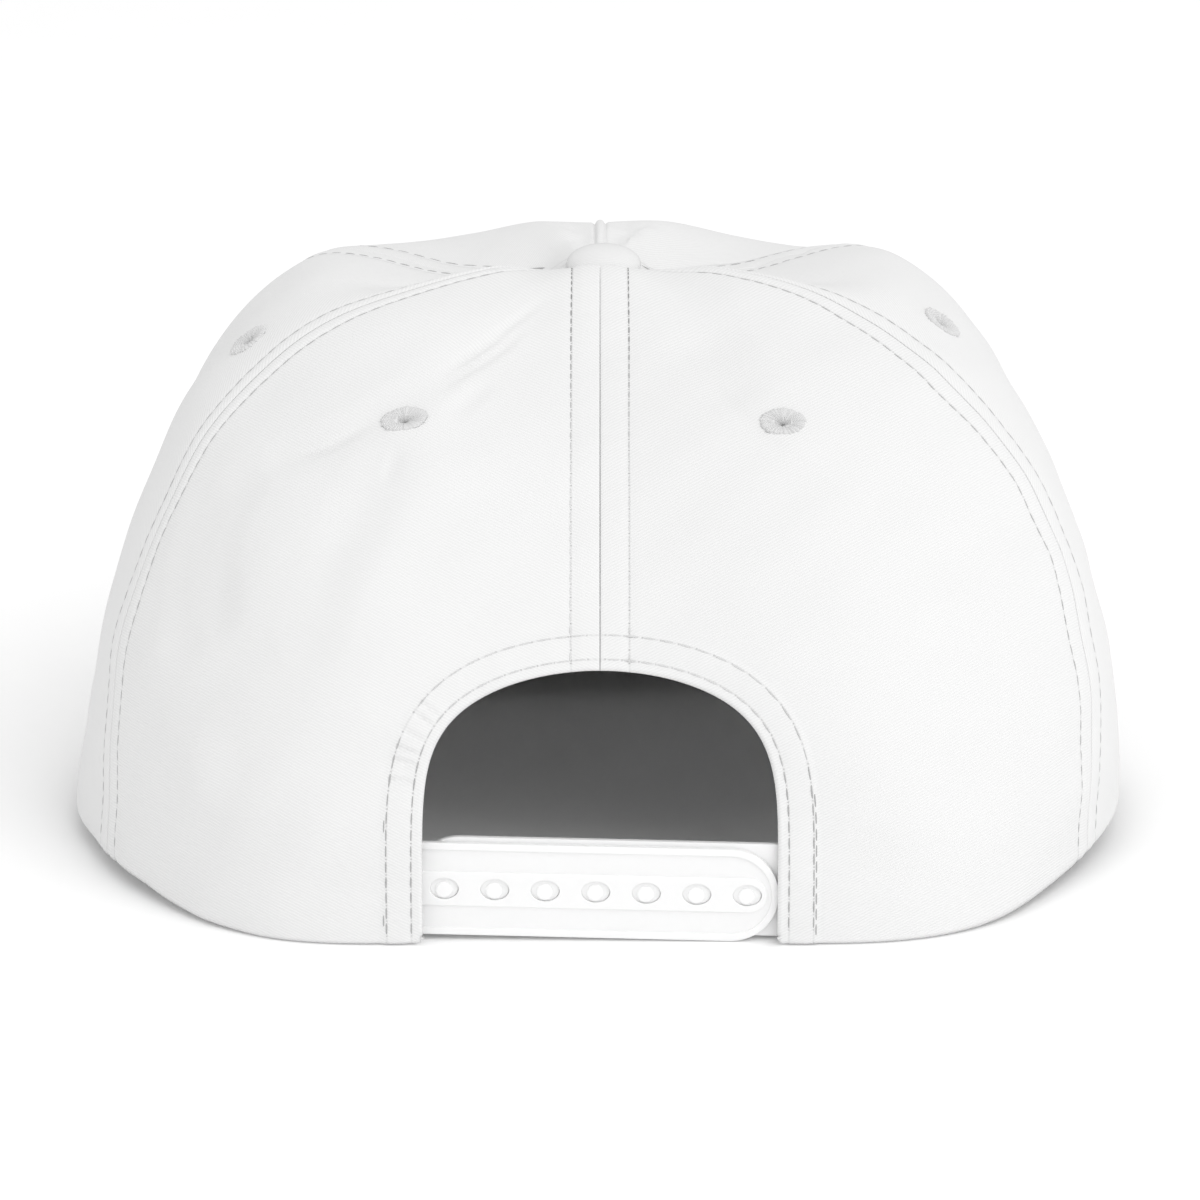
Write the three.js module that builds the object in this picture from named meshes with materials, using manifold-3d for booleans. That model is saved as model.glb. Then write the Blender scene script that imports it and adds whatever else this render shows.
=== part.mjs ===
// A five-panel cap with a brim, a button, four eyelets and a plastic snap strap across a rear arch.
// Millimetres. +Z is up, the brim points along +Y, and +X is the wearer's right.
// The cap rests on its rear rim and on the two lowest stretches of the brim, all at z = 0.

import * as THREE from 'three';
import { mergeVertices } from 'three/addons/utils/BufferGeometryUtils.js';
import Module from 'manifold-3d';

const wasm = await Module();
wasm.setup();

// Cloth
const wallThickness = 1.5;
const seamGap = 0.3;
const restingGap = 0.3;

// Block that cuts off whatever lies below the surface that the cap rests on
const floorBlock = { width: 400, length: 600, depth: 20 };

// The crown is measured from the middle of its rear rim. The finished cap is moved back by this much.
const middleY = 116.8;

// The point of the crown where all the panels meet, and the flat seat of the button round it
const apex = new THREE.Vector3(0, 84, 103.5);
const seat = { radius: 8, fadeRadius: 22, riseAngle: 6, holeRadius: 3 };

// Meridians of the right half, from the centre back seam round to the front pinch. Each is a cubic curve
// that leaves the rim towards `wall` and comes to the apex from `top`. Two steps of the table are one panel.
const meridians = [
  { place: 'centre back seam', rim: [0, 0, -1], wall: [0, -3, 58], top: [0, 36, 93] },
  { place: 'middle of rear panel', rim: [59, 1, -1], wall: [55, -3, 58], top: [38, 36, 101] },
  { place: 'rear side seam', rim: [91.5, 38, 4], wall: [91, 34, 60], top: [73, 55, 114] },
  { place: 'middle of side panel', rim: [98, 82, 7], wall: [91, 80, 62], top: [79, 80, 126] },
  { place: 'front side seam', rim: [82, 124, 9], wall: [81, 128, 68], top: [70, 105, 121] },
  { place: 'quarter of front panel', rim: [45, 153, 11], wall: [46, 162, 70], top: [34, 130, 114] },
  { place: 'front pinch', rim: [0, 165, 12], wall: [0, 173, 72], top: [0, 134, 118] },
];
const stepsAround = 2 * (meridians.length - 1);

// Height added near the button: a rim behind it, sags along the front side seams and fullness in front of
// them. Radii are distances from the apex, seen from above.
const rim = { height: 3.5, from: 8.6, full: 13, to: 42, power: 2 };
const sag = { depth: 4.5, from: 12, full: 26, fade: 30, to: 58, turns: [1.08, 1.5, 2, 2.6] };
const fullness = {
  height: 1.8, from: 12, full: 30, fade: 40, to: 62, turns: [2.1, 2.45, 2.65, 3], shareAtPinch: 0.2,
};

// Soft changes of the crown's shape. Each has a place and a reach, both as a turn and a share of the way up,
// and the shift at that place.
const shaping = [
  { change: 'flatter upper left side', place: [4.5, 0.38], reach: [0.8, 0.27], shift: [1.5, 0, -0.7] },
  { change: 'fuller top, left', place: [3.72, 0.7], reach: [0.5, 0.3], shift: [0, 0, 1.7] },
  { change: 'fuller left shoulder', place: [4.2, 0.66], reach: [0.35, 0.3], shift: [0, 0, 0.6] },
  { change: 'fuller top, right', place: [1.98, 0.68], reach: [0.7, 0.3], shift: [0, 0, 1.6] },
  { change: 'flatter upper right side', place: [1.55, 0.46], reach: [0.35, 0.14], shift: [-0.8, 0, -0.5] },
  { change: 'fuller lower right side', place: [1.28, 0.18], reach: [0.6, 0.2], shift: [1.8, 0, 0] },
  { change: 'lower rim at left side', place: [4.75, 0], reach: [0.45, 0.14], shift: [-0.3, 0, -2.4] },
];

// Panels, by the turns of the crown that they span. Turn 0 is the centre back seam, 3 is the front pinch,
// and a whole number is a seam. `left` panels are on the far side of turn 3.
const panels = [
  { name: 'rear_panel_right', from: 0, to: 1, columns: 13 },
  { name: 'side_panel_right', from: 1, to: 2, columns: 8 },
  { name: 'front_panel', from: 2, to: 4, columns: 14 },
  { name: 'side_panel_left', from: 4, to: 5, columns: 8 },
  { name: 'rear_panel_left', from: 5, to: 6, columns: 13 },
];
const panelRows = 15;
const seatRows = 3;

// Folds and dents, as lines on the crown through two or three places, each a turn and a share of the way up
// to the apex. Depth is how far the cloth is pressed in, and a negative depth stands out. Width is the
// distance at which the fold has faded.
const folds = [
  { fold: 'crease at left eyelet', line: [[5.49, 0.91], [5.47, 0.71], [5.25, 0.54]], width: 9, depth: 1 },
  { fold: 'hollow beside that crease', line: [[5.57, 0.84], [5.64, 0.66]], width: 14, depth: 1.1 },
  { fold: 'puff above that crease', line: [[5.3, 0.8], [5.2, 0.66]], width: 17, depth: -0.9 },
  { fold: 'long soft fold, left', line: [[5.49, 0.57], [5.52, 0.36]], width: 11, depth: 1 },
  { fold: 'hollow beside left seam', line: [[5.2, 0.5], [5.28, 0.3]], width: 15, depth: 1 },
  { fold: 'hollow left of arch', line: [[5.77, 0.25], [5.61, 0.22], [5.36, 0.25]], width: 14, depth: 1.4 },
  { fold: 'swell beside left leg', line: [[5.74, 0.14], [5.6, 0.13]], width: 13, depth: -0.8 },
  { fold: 'fold below right seam', line: [[0.58, 0.9], [0.49, 0.81], [0.48, 0.72]], width: 11, depth: 1 },
  { fold: 'crease at right eyelet', line: [[0.32, 0.75], [0.4, 0.66], [0.63, 0.47]], width: 10, depth: 0.5 },
  { fold: 'hollow beside right leg', line: [[0.34, 0.12], [0.6, 0.11]], width: 13, depth: 0.7 },
];
const foldPoints = 9;
const slopeStep = 0.01;

// Pinch of the front panel: a narrow ridge that runs forward from the button and fades out
const pinch = { width: 2, height: 1.1, startRadius: 8, fullRadius: 10, fadeFrom: 0.62, fadeTo: 0.42 };
const pinchColumns = [
  { reach: 1.5, share: 0.021, height: 0 },
  { reach: 1, share: 0.014, height: 0.15 },
  { reach: 0.6, share: 0.007, height: 0.85 },
];

// Opening above the strap: a rounded arch through the rear panels
const arch = { halfWidth: 31.6, height: 47.85, uprightness: 6.5, steps: 36, cutDepth: 60, cutBelow: 5 };

// Eyelets, by turn and share of the way up
const eyelets = [
  { name: 'eyelet_rear_right', turn: 0.494, up: 0.639 },
  { name: 'eyelet_rear_left', turn: 5.47, up: 0.635 },
  { name: 'eyelet_side_right', turn: 1.292, up: 0.633 },
  { name: 'eyelet_side_left', turn: 4.804, up: 0.62 },
];
const eyelet = {
  radius: 4.4, throat: 1.1, tubeRadius: 2.2, height: 0.75, below: 2, lift: 0.45, ringSteps: 5,
  holeDepth: 12, sides: 16,
};

// Covered button with its shank
const button = {
  radius: 7.25, height: 4.6, edge: 1.1, tuck: 0.4, shankRadius: 2.4, shankLength: 4, domeSteps: 7, sides: 24,
};

// Brim
const brim = {
  thickness: 3, halfWidth: 86.5, tipY: 235, cornerY: 117, squareness: 2.35, firstTurn: 1.9,
  tipHeight: 9, tipRound: 0.3, dip: 6.7, dipPlace: 0.7, edgeBulge: 0.8, edgeShare: 0.3, drop: 0.6,
  columns: 30, rows: 4,
};

// Snap strap: two plastic straps, one over the other, tilted a little down to the right
const strap = {
  height: 17, thickness: 1.55, hiddenEnd: 44, tipRight: 31.25, tipLeft: 33.7,
  middleZ: 9.3, tiltAngle: 1, faceY: 0.6, turnAngle: 1.2,
  border: 1.25, band: 6.4, bandShort: 2.1, channelDepth: 0.45, overrun: 2,
};
const snaps = {
  count: 7, pitch: 9, middleX: -0.75, holeLength: 5.1, holeHeight: 3.75,
  pegRadius: 1.5, pegBevel: 0.3, pegOffset: -0.12,
};
const strapGap = 0.3;
const roundSides = 16;

// Helpers

const blendOut = (from, to, value) => 1 - THREE.MathUtils.smoothstep(value, from, to);

function solidOf(geometry) {
  const bare = new THREE.BufferGeometry();
  bare.setAttribute('position', geometry.getAttribute('position').clone());
  if (geometry.index) bare.setIndex(geometry.index.clone());
  const merged = mergeVertices(bare, 1e-4);
  const mesh = new wasm.Mesh({
    numProp: 3,
    vertProperties: new Float32Array(merged.getAttribute('position').array),
    triVerts: new Uint32Array(merged.index.array),
  });
  return new wasm.Manifold(mesh);
}

function geometryOf(solid) {
  const mesh = solid.getMesh();
  const geometry = new THREE.BufferGeometry();
  geometry.setAttribute('position', new THREE.BufferAttribute(new Float32Array(mesh.vertProperties), 3));
  geometry.setIndex(new THREE.BufferAttribute(new Uint32Array(mesh.triVerts), 1));
  geometry.computeVertexNormals();
  return geometry;
}

// A closed sheet from rows of points: outer[j][i] is the upper face, inner[j][i] the lower face.
function sheetGeometry(outer, inner) {
  const rows = outer.length;
  const columns = outer[0].length;
  const positions = [...outer.flat(), ...inner.flat()].flatMap((p) => [p.x, p.y, p.z]);
  const upper = (j, i) => j * columns + i;
  const lower = (j, i) => rows * columns + upper(j, i);
  const index = [];
  const quad = (a, b, c, d) => index.push(a, b, c, a, c, d);
  for (let j = 0; j < rows - 1; j++) {
    for (let i = 0; i < columns - 1; i++) {
      quad(upper(j, i), upper(j, i + 1), upper(j + 1, i + 1), upper(j + 1, i));
      quad(lower(j, i), lower(j + 1, i), lower(j + 1, i + 1), lower(j, i + 1));
    }
  }
  for (let i = 0; i < columns - 1; i++) {
    quad(upper(0, i), lower(0, i), lower(0, i + 1), upper(0, i + 1));
    quad(upper(rows - 1, i), upper(rows - 1, i + 1), lower(rows - 1, i + 1), lower(rows - 1, i));
  }
  for (let j = 0; j < rows - 1; j++) {
    quad(upper(j, 0), upper(j + 1, 0), lower(j + 1, 0), lower(j, 0));
    quad(upper(j, columns - 1), lower(j, columns - 1), lower(j + 1, columns - 1), upper(j + 1, columns - 1));
  }
  const geometry = new THREE.BufferGeometry();
  geometry.setAttribute('position', new THREE.Float32BufferAttribute(positions, 3));
  geometry.setIndex(index);
  return geometry;
}

// Crown surface

function tablePoint(step, column) {
  const wrapped = ((step % stepsAround) + stepsAround) % stepsAround;
  const mirrored = wrapped >= meridians.length;
  const row = meridians[mirrored ? stepsAround - wrapped : wrapped];
  const point = new THREE.Vector3(...row[column]);
  if (mirrored) point.x = -point.x;
  return point;
}

// One column of the table at any turn, on a smooth curve through its rows
function tableCurve(turn, column) {
  const step = Math.floor(turn * 2);
  const share = turn * 2 - step;
  const [before, start, end, after] = [-1, 0, 1, 2].map((shift) => tablePoint(step + shift, column));
  const along = (axis) => {
    const bend = 2 * before[axis] - 5 * start[axis] + 4 * end[axis] - after[axis];
    const twist = 3 * start[axis] - before[axis] - 3 * end[axis] + after[axis];
    const slope = end[axis] - before[axis];
    return start[axis] + 0.5 * share * (slope + share * (bend + share * twist));
  };
  return new THREE.Vector3(along('x'), along('y'), along('z'));
}

// Height added near the button, at a distance across and forward of the apex
function topHeight(turn, across, forward) {
  const { smoothstep } = THREE.MathUtils;
  const radius = Math.max(Math.hypot(across, forward), 1e-6);
  const lastTurn = stepsAround / 2;
  const wrapped = ((turn % lastTurn) + lastTurn) % lastTurn;
  const fromBack = Math.min(wrapped, lastTurn - wrapped);
  const rimShare = Math.max(-forward / radius, 0) ** rim.power
    * smoothstep(radius, rim.from, rim.full) * blendOut(rim.full, rim.to, radius);
  const sagShare = smoothstep(fromBack, sag.turns[0], sag.turns[1])
    * blendOut(sag.turns[2], sag.turns[3], fromBack)
    * smoothstep(radius, sag.from, sag.full) * blendOut(sag.fade, sag.to, radius);
  const frontFade = 1 - (1 - fullness.shareAtPinch) * smoothstep(fromBack, fullness.turns[2], fullness.turns[3]);
  const fullShare = smoothstep(fromBack, fullness.turns[0], fullness.turns[1]) * frontFade
    * smoothstep(radius, fullness.from, fullness.full) * blendOut(fullness.fade, fullness.to, radius);
  return rim.height * rimShare - sag.depth * sagShare + fullness.height * fullShare;
}

function shapeShift(turn, up) {
  const lastTurn = stepsAround / 2;
  const wrapped = ((turn % lastTurn) + lastTurn) % lastTurn;
  const total = new THREE.Vector3();
  for (const row of shaping) {
    const across = (wrapped - row.place[0]) / row.reach[0];
    const share = Math.min(Math.hypot(across, (up - row.place[1]) / row.reach[1]), 1);
    total.addScaledVector(new THREE.Vector3(...row.shift), (1 - share * share) ** 2);
  }
  return total;
}

function smoothPoint(turn, up) {
  const curve = new THREE.CubicBezierCurve3(
    tableCurve(turn, 'rim'), tableCurve(turn, 'wall'), tableCurve(turn, 'top'), apex,
  );
  const point = curve.getPoint(up);
  const radius = Math.hypot(point.x - apex.x, point.y - apex.y);
  const seatHeight = apex.z + (point.y - apex.y) * Math.tan(THREE.MathUtils.degToRad(seat.riseAngle));
  const pull = blendOut(seat.radius, seat.fadeRadius, radius);
  point.z = THREE.MathUtils.lerp(point.z, seatHeight, pull);
  point.z += topHeight(turn, point.x - apex.x, point.y - apex.y);
  return point.add(shapeShift(turn, up));
}

// Outward normal of the smooth crown. It is read a little short of the apex, where the meridians meet.
function smoothNormal(turn, up) {
  const place = THREE.MathUtils.clamp(up, slopeStep, 1 - 2 * slopeStep);
  const around = smoothPoint(turn + slopeStep, place).sub(smoothPoint(turn - slopeStep, place));
  const upward = smoothPoint(turn, place + slopeStep).sub(smoothPoint(turn, place - slopeStep));
  return around.cross(upward).normalize();
}

const foldLines = folds.map((row) => {
  const places = new THREE.SplineCurve(row.line.map(([turn, up]) => new THREE.Vector2(turn, up)));
  const points = places.getPoints(foldPoints - 1).map((place) => smoothPoint(place.x, place.y));
  return { ...row, points };
});

function distanceToLine(point, points) {
  const nearest = new THREE.Vector3();
  let distance = Infinity;
  for (let i = 0; i < points.length - 1; i++) {
    new THREE.Line3(points[i], points[i + 1]).closestPointToPoint(point, true, nearest);
    distance = Math.min(distance, nearest.distanceTo(point));
  }
  return distance;
}

// How far the cloth lies inside the smooth crown
function pressedIn(point) {
  let depth = 0;
  for (const line of foldLines) {
    const share = Math.min(distanceToLine(point, line.points) / line.width, 1);
    depth += line.depth * (1 - share * share) ** 2;
  }
  return depth;
}

function crownPoint(turn, up) {
  const point = smoothPoint(turn, up);
  return point.addScaledVector(smoothNormal(turn, up), -pressedIn(point));
}

function crownNormal(turn, up) {
  const around = crownPoint(turn + slopeStep, up).sub(crownPoint(turn - slopeStep, up));
  const upward = crownPoint(turn, up + slopeStep).sub(crownPoint(turn, up - slopeStep));
  return around.cross(upward).normalize();
}

// Panels

function widthOfTurn(turn, up) {
  return smoothPoint(turn + slopeStep, up).distanceTo(smoothPoint(turn - slopeStep, up)) / (2 * slopeStep);
}

function topOfPanel(turn) {
  return 1 - seat.holeRadius / (3 * tableCurve(turn, 'top').distanceTo(apex));
}

function pinchHeight(point, up, column) {
  const radius = Math.hypot(point.x - apex.x, point.y - apex.y);
  const rise = THREE.MathUtils.smoothstep(radius, pinch.startRadius, pinch.fullRadius);
  const fade = THREE.MathUtils.smoothstep(up, pinch.fadeTo, pinch.fadeFrom);
  return pinch.height * column.height * rise * fade;
}

// Columns of a panel, as shares of its width. The front panel has a close group at its middle.
function panelColumns(panel, width) {
  const list = [];
  for (let i = 0; i <= panel.columns; i++) list.push({ share: i / panel.columns, height: 0 });
  if (panel.name !== 'front_panel') return list;
  const middle = panel.columns / 2;
  const nearMiddle = (side) => pinchColumns.map((column) => {
    const offset = Math.min(column.reach * pinch.width / 2 / width, column.share);
    return { share: 0.5 + side * offset, height: column.height };
  });
  const ridge = [...nearMiddle(-1), { share: 0.5, height: 1 }, ...nearMiddle(1).reverse()];
  return [...list.slice(0, middle), ...ridge, ...list.slice(middle + 1)];
}

// Rows of a panel, as shares of its height. The last step, beside the seat of the button, is divided again.
function rowHeights() {
  const list = [];
  for (let j = 0; j < panelRows; j++) list.push(j / panelRows);
  for (let k = 1; k <= seatRows; k++) list.push((panelRows - 1 + k / seatRows) / panelRows);
  return list;
}

function panelSolid(panel) {
  const outer = [];
  const inner = [];
  for (const height of rowHeights()) {
    const middleTurn = (panel.from + panel.to) / 2;
    const startInset = seamGap / 2 / widthOfTurn(panel.from, Math.min(height, topOfPanel(panel.from)));
    const endInset = seamGap / 2 / widthOfTurn(panel.to, Math.min(height, topOfPanel(panel.to)));
    const start = panel.from + startInset;
    const end = panel.to - endInset;
    const width = widthOfTurn(middleTurn, Math.min(height, topOfPanel(middleTurn))) * (end - start);
    const outerRow = [];
    const innerRow = [];
    for (const column of panelColumns(panel, width)) {
      const turn = THREE.MathUtils.lerp(start, end, column.share);
      const up = height * topOfPanel(turn);
      const normal = smoothNormal(turn, up);
      const point = crownPoint(turn, up);
      innerRow.push(point.clone().addScaledVector(normal, -wallThickness));
      outerRow.push(point.addScaledVector(normal, pinchHeight(point, up, column)));
    }
    outer.push(outerRow);
    inner.push(innerRow);
  }
  return solidOf(sheetGeometry(outer, inner));
}

function archSolid() {
  const shape = new THREE.Shape();
  for (let i = 0; i <= arch.steps; i++) {
    const angle = Math.PI * (1 - Math.cos(Math.PI * i / arch.steps)) / 2;
    const x = arch.halfWidth * Math.cos(angle);
    const z = arch.height * Math.abs(Math.sin(angle)) ** (2 / arch.uprightness);
    if (i === 0) shape.moveTo(x, -arch.cutBelow);
    shape.lineTo(x, z);
    if (i === arch.steps) shape.lineTo(x, -arch.cutBelow);
  }
  const geometry = new THREE.ExtrudeGeometry(shape, { depth: arch.cutDepth, bevelEnabled: false });
  geometry.rotateX(Math.PI / 2);
  geometry.translate(0, arch.cutDepth / 2, 0);
  return solidOf(geometry);
}

function floorSolid() {
  const geometry = new THREE.BoxGeometry(floorBlock.width, floorBlock.length, floorBlock.depth);
  geometry.translate(0, 0, -floorBlock.depth / 2);
  return solidOf(geometry);
}

// A frame on the crown whose Z points out of the cloth
function crownFrame(turn, up) {
  const upright = new THREE.Vector3(0, 0, 1);
  const lean = new THREE.Quaternion().setFromUnitVectors(upright, crownNormal(turn, up));
  const frame = new THREE.Matrix4().makeRotationFromQuaternion(lean);
  frame.setPosition(crownPoint(turn, up));
  return frame;
}

function eyeletHoleSolid(row) {
  const geometry = new THREE.CylinderGeometry(
    eyelet.tubeRadius + restingGap, eyelet.tubeRadius + restingGap, eyelet.holeDepth, eyelet.sides,
  );
  geometry.rotateX(Math.PI / 2);
  geometry.applyMatrix4(crownFrame(row.turn, row.up));
  return solidOf(geometry);
}

function buildPanel(panel) {
  let solid = panelSolid(panel).subtract(floorSolid());
  if (panel.name.startsWith('rear')) solid = solid.subtract(archSolid());
  for (const row of eyelets) {
    const isHere = row.turn > panel.from && row.turn < panel.to;
    if (isHere) solid = solid.subtract(eyeletHoleSolid(row));
  }
  return geometryOf(solid);
}

// Small pieces of the crown

function buildEyelet(row) {
  const { radius, throat, tubeRadius, height, below, lift, sides } = eyelet;
  const middle = (tubeRadius + radius) / 2;
  const ring = new THREE.SplineCurve([
    new THREE.Vector2(radius, lift),
    new THREE.Vector2(middle, lift + height),
    new THREE.Vector2(throat, lift),
  ]);
  const profile = [
    new THREE.Vector2(throat, -below),
    new THREE.Vector2(tubeRadius, -below),
    new THREE.Vector2(tubeRadius, lift),
    ...ring.getPoints(eyelet.ringSteps),
    new THREE.Vector2(throat, -below),
  ];
  const geometry = new THREE.LatheGeometry(profile, sides);
  geometry.rotateX(Math.PI / 2);
  geometry.applyMatrix4(crownFrame(row.turn, row.up));
  return geometryOf(solidOf(geometry));
}

function buildButton() {
  const { radius, height, edge, tuck, shankRadius, shankLength, domeSteps, sides } = button;
  const profile = [[0, -shankLength], [shankRadius, -shankLength], [shankRadius, restingGap]];
  profile.push([radius - tuck, restingGap]);
  for (let i = 0; i <= domeSteps; i++) {
    const angle = Math.PI / 2 * i / domeSteps;
    profile.push([radius * Math.cos(angle), edge + (height - edge) * Math.sin(angle)]);
  }
  profile[profile.length - 1][0] = 0;
  const points = profile.map(([x, y]) => new THREE.Vector2(x, y));
  const geometry = new THREE.LatheGeometry(points, sides);
  geometry.rotateX(Math.PI / 2 + THREE.MathUtils.degToRad(seat.riseAngle));
  geometry.translate(apex.x, apex.y, apex.z);
  return geometryOf(solidOf(geometry));
}

// Brim

// A point of the brim. Across runs from the right corner to the left one, out from the crown to the edge,
// and face is 1 on top, -1 underneath, and between them on the rounded edge.
function brimPoint(across, out, face) {
  const turn = THREE.MathUtils.lerp(brim.firstTurn, 6 - brim.firstTurn, across);
  const inward = smoothNormal(turn, 0).setZ(0).normalize();
  const inner = tableCurve(turn, 'rim').addScaledVector(inward, -wallThickness);
  inner.z -= brim.drop;
  const angle = Math.PI * across;
  const power = 2 / brim.squareness;
  const reach = brim.tipY - brim.cornerY;
  const outer = new THREE.Vector3(
    brim.halfWidth * Math.sign(Math.cos(angle)) * Math.abs(Math.cos(angle)) ** power,
    brim.cornerY + reach * Math.sin(angle) ** power,
    0,
  );
  const cornerReach = Math.hypot(1, brim.tipRound);
  const fromTip = Math.hypot(1 - 2 * across, brim.tipRound);
  const fromCorner = (cornerReach - fromTip) / (cornerReach - brim.tipRound);
  outer.z = THREE.MathUtils.lerp(inner.z, brim.tipHeight, fromCorner);
  outer.z -= brim.dip * Math.sin(Math.PI * fromCorner ** brim.dipPlace);
  const point = inner.lerp(outer, out);
  point.z -= brim.thickness / 2 * (1 - face);
  const isEdge = Math.abs(face) < 1;
  const bulge = isEdge ? brim.edgeBulge : 0;
  return point.addScaledVector(new THREE.Vector3(Math.cos(angle), Math.sin(angle), 0), bulge);
}

function buildBrim() {
  const upper = [];
  const lower = [];
  for (let j = 0; j <= brim.rows + 1; j++) {
    const out = Math.min(j / brim.rows, 1);
    const face = j > brim.rows ? brim.edgeShare : 1;
    const upperRow = [];
    const lowerRow = [];
    for (let i = 0; i <= brim.columns; i++) {
      upperRow.push(brimPoint(i / brim.columns, out, face));
      lowerRow.push(brimPoint(i / brim.columns, out, -face));
    }
    upper.push(upperRow.reverse());
    lower.push(lowerRow.reverse());
  }
  const solid = solidOf(sheetGeometry(upper, lower));
  return geometryOf(solid.subtract(floorSolid()));
}

// Snap strap. Both straps are drawn flat in X and Y, with their outer face up, and then stood upright.

// A strip from its far end to a round tip, drawn inside the full strip by the inset
function strapOutline(farEnd, tip, height, inset) {
  const radius = height / 2 - inset;
  const side = Math.sign(tip);
  const centreX = tip - side * (height / 2);
  const shape = new THREE.Shape();
  shape.moveTo(farEnd, -radius);
  shape.lineTo(centreX, -radius);
  for (let i = 1; i < roundSides; i++) {
    const angle = -Math.PI / 2 + Math.PI * i / roundSides;
    shape.lineTo(centreX + side * radius * Math.cos(angle), radius * Math.sin(angle));
  }
  shape.lineTo(centreX, radius);
  shape.lineTo(farEnd, radius);
  shape.closePath();
  return shape;
}

function plate(shape, bottom, top) {
  const geometry = new THREE.ExtrudeGeometry(shape, { depth: top - bottom, bevelEnabled: false });
  geometry.translate(0, 0, bottom);
  return solidOf(geometry);
}

function snapPlaces() {
  const places = [];
  for (let i = 0; i < snaps.count; i++) {
    places.push(snaps.middleX + (i - (snaps.count - 1) / 2) * snaps.pitch);
  }
  return places;
}

function standStrap(solid, back) {
  const geometry = geometryOf(solid);
  geometry.rotateX(Math.PI / 2);
  geometry.rotateY(THREE.MathUtils.degToRad(strap.tiltAngle));
  geometry.translate(strap.hiddenEnd, 0, 0);
  geometry.rotateZ(-THREE.MathUtils.degToRad(strap.turnAngle));
  geometry.translate(-strap.hiddenEnd, strap.faceY + back, strap.middleZ);
  geometry.computeVertexNormals();
  return geometry;
}

function buildStrapWithHoles() {
  const { height, thickness, hiddenEnd, tipRight, border, band, bandShort, channelDepth, overrun } = strap;
  const outline = strapOutline(-hiddenEnd, tipRight, height, 0);
  for (const x of snapPlaces()) {
    const hole = new THREE.Path();
    hole.absellipse(x, 0, snaps.holeLength / 2, snaps.holeHeight / 2, 0, 2 * Math.PI, true);
    outline.holes.push(new THREE.Path(hole.getPoints(roundSides)));
  }
  const channel = strapOutline(-hiddenEnd - overrun, tipRight, height, border);
  const middleBand = strapOutline(-hiddenEnd - 2 * overrun, tipRight - bandShort, band, 0);
  const body = plate(outline, -thickness, 0);
  const groove = plate(channel, -channelDepth, overrun).subtract(plate(middleBand, -overrun, 2 * overrun));
  return standStrap(body.subtract(groove), 0);
}

function buildStrapWithPegs() {
  const { height, thickness, hiddenEnd, tipLeft } = strap;
  const outline = strapOutline(hiddenEnd, -tipLeft, height, 0);
  let solid = plate(outline, -thickness, 0);
  const pegLength = strapGap + thickness;
  for (const x of snapPlaces()) {
    const profile = [
      [0, -thickness / 2], [snaps.pegRadius, -thickness / 2], [snaps.pegRadius, pegLength - snaps.pegBevel],
      [snaps.pegRadius - snaps.pegBevel, pegLength], [0, pegLength],
    ].map(([r, h]) => new THREE.Vector2(r, h));
    const peg = new THREE.LatheGeometry(profile, roundSides);
    peg.rotateX(Math.PI / 2);
    peg.translate(x + snaps.pegOffset, 0, 0);
    solid = solid.add(solidOf(peg));
  }
  return standStrap(solid, thickness + strapGap);
}

// The cap

const group = new THREE.Group();
group.position.y = -middleY;

function addPiece(name, geometry, look) {
  const mesh = new THREE.Mesh(geometry, new THREE.MeshStandardMaterial(look));
  mesh.name = name;
  group.add(mesh);
}

const twill = { color: 0xf1f1ef, roughness: 0.92, metalness: 0 };
const thread = { color: 0xe4e4e1, roughness: 0.75, metalness: 0 };
const plastic = { color: 0xf4f4f3, roughness: 0.35, metalness: 0 };

for (const panel of panels) addPiece(panel.name, buildPanel(panel), twill);
for (const row of eyelets) addPiece(row.name, buildEyelet(row), thread);
addPiece('button', buildButton(), twill);
addPiece('brim', buildBrim(), twill);
addPiece('strap_with_holes', buildStrapWithHoles(), plastic);
addPiece('strap_with_pegs', buildStrapWithPegs(), plastic);

export default group;
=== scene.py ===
# A white surf cap seen from behind: twill panels, topstitched seams, arched rear opening and snap strap.
import math

import bmesh
import bpy
import numpy as np
from mathutils import Matrix, Vector


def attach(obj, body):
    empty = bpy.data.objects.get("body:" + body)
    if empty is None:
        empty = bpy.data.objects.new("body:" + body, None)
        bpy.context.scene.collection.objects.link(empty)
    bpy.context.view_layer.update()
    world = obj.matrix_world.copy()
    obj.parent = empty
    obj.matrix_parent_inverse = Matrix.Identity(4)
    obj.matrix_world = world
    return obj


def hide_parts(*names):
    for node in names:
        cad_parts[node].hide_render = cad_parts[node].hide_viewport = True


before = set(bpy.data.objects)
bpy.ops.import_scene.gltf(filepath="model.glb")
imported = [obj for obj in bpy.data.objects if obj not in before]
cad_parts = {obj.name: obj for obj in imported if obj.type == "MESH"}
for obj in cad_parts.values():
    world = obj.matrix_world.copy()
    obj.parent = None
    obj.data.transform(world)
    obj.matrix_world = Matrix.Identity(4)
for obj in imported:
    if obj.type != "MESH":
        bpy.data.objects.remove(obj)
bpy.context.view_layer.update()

mm = 0.001


def table(columns, rows):
    # The rows of a table as dictionaries, from the names of its columns
    return [dict(zip(columns.split(), row)) for row in rows]


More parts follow.
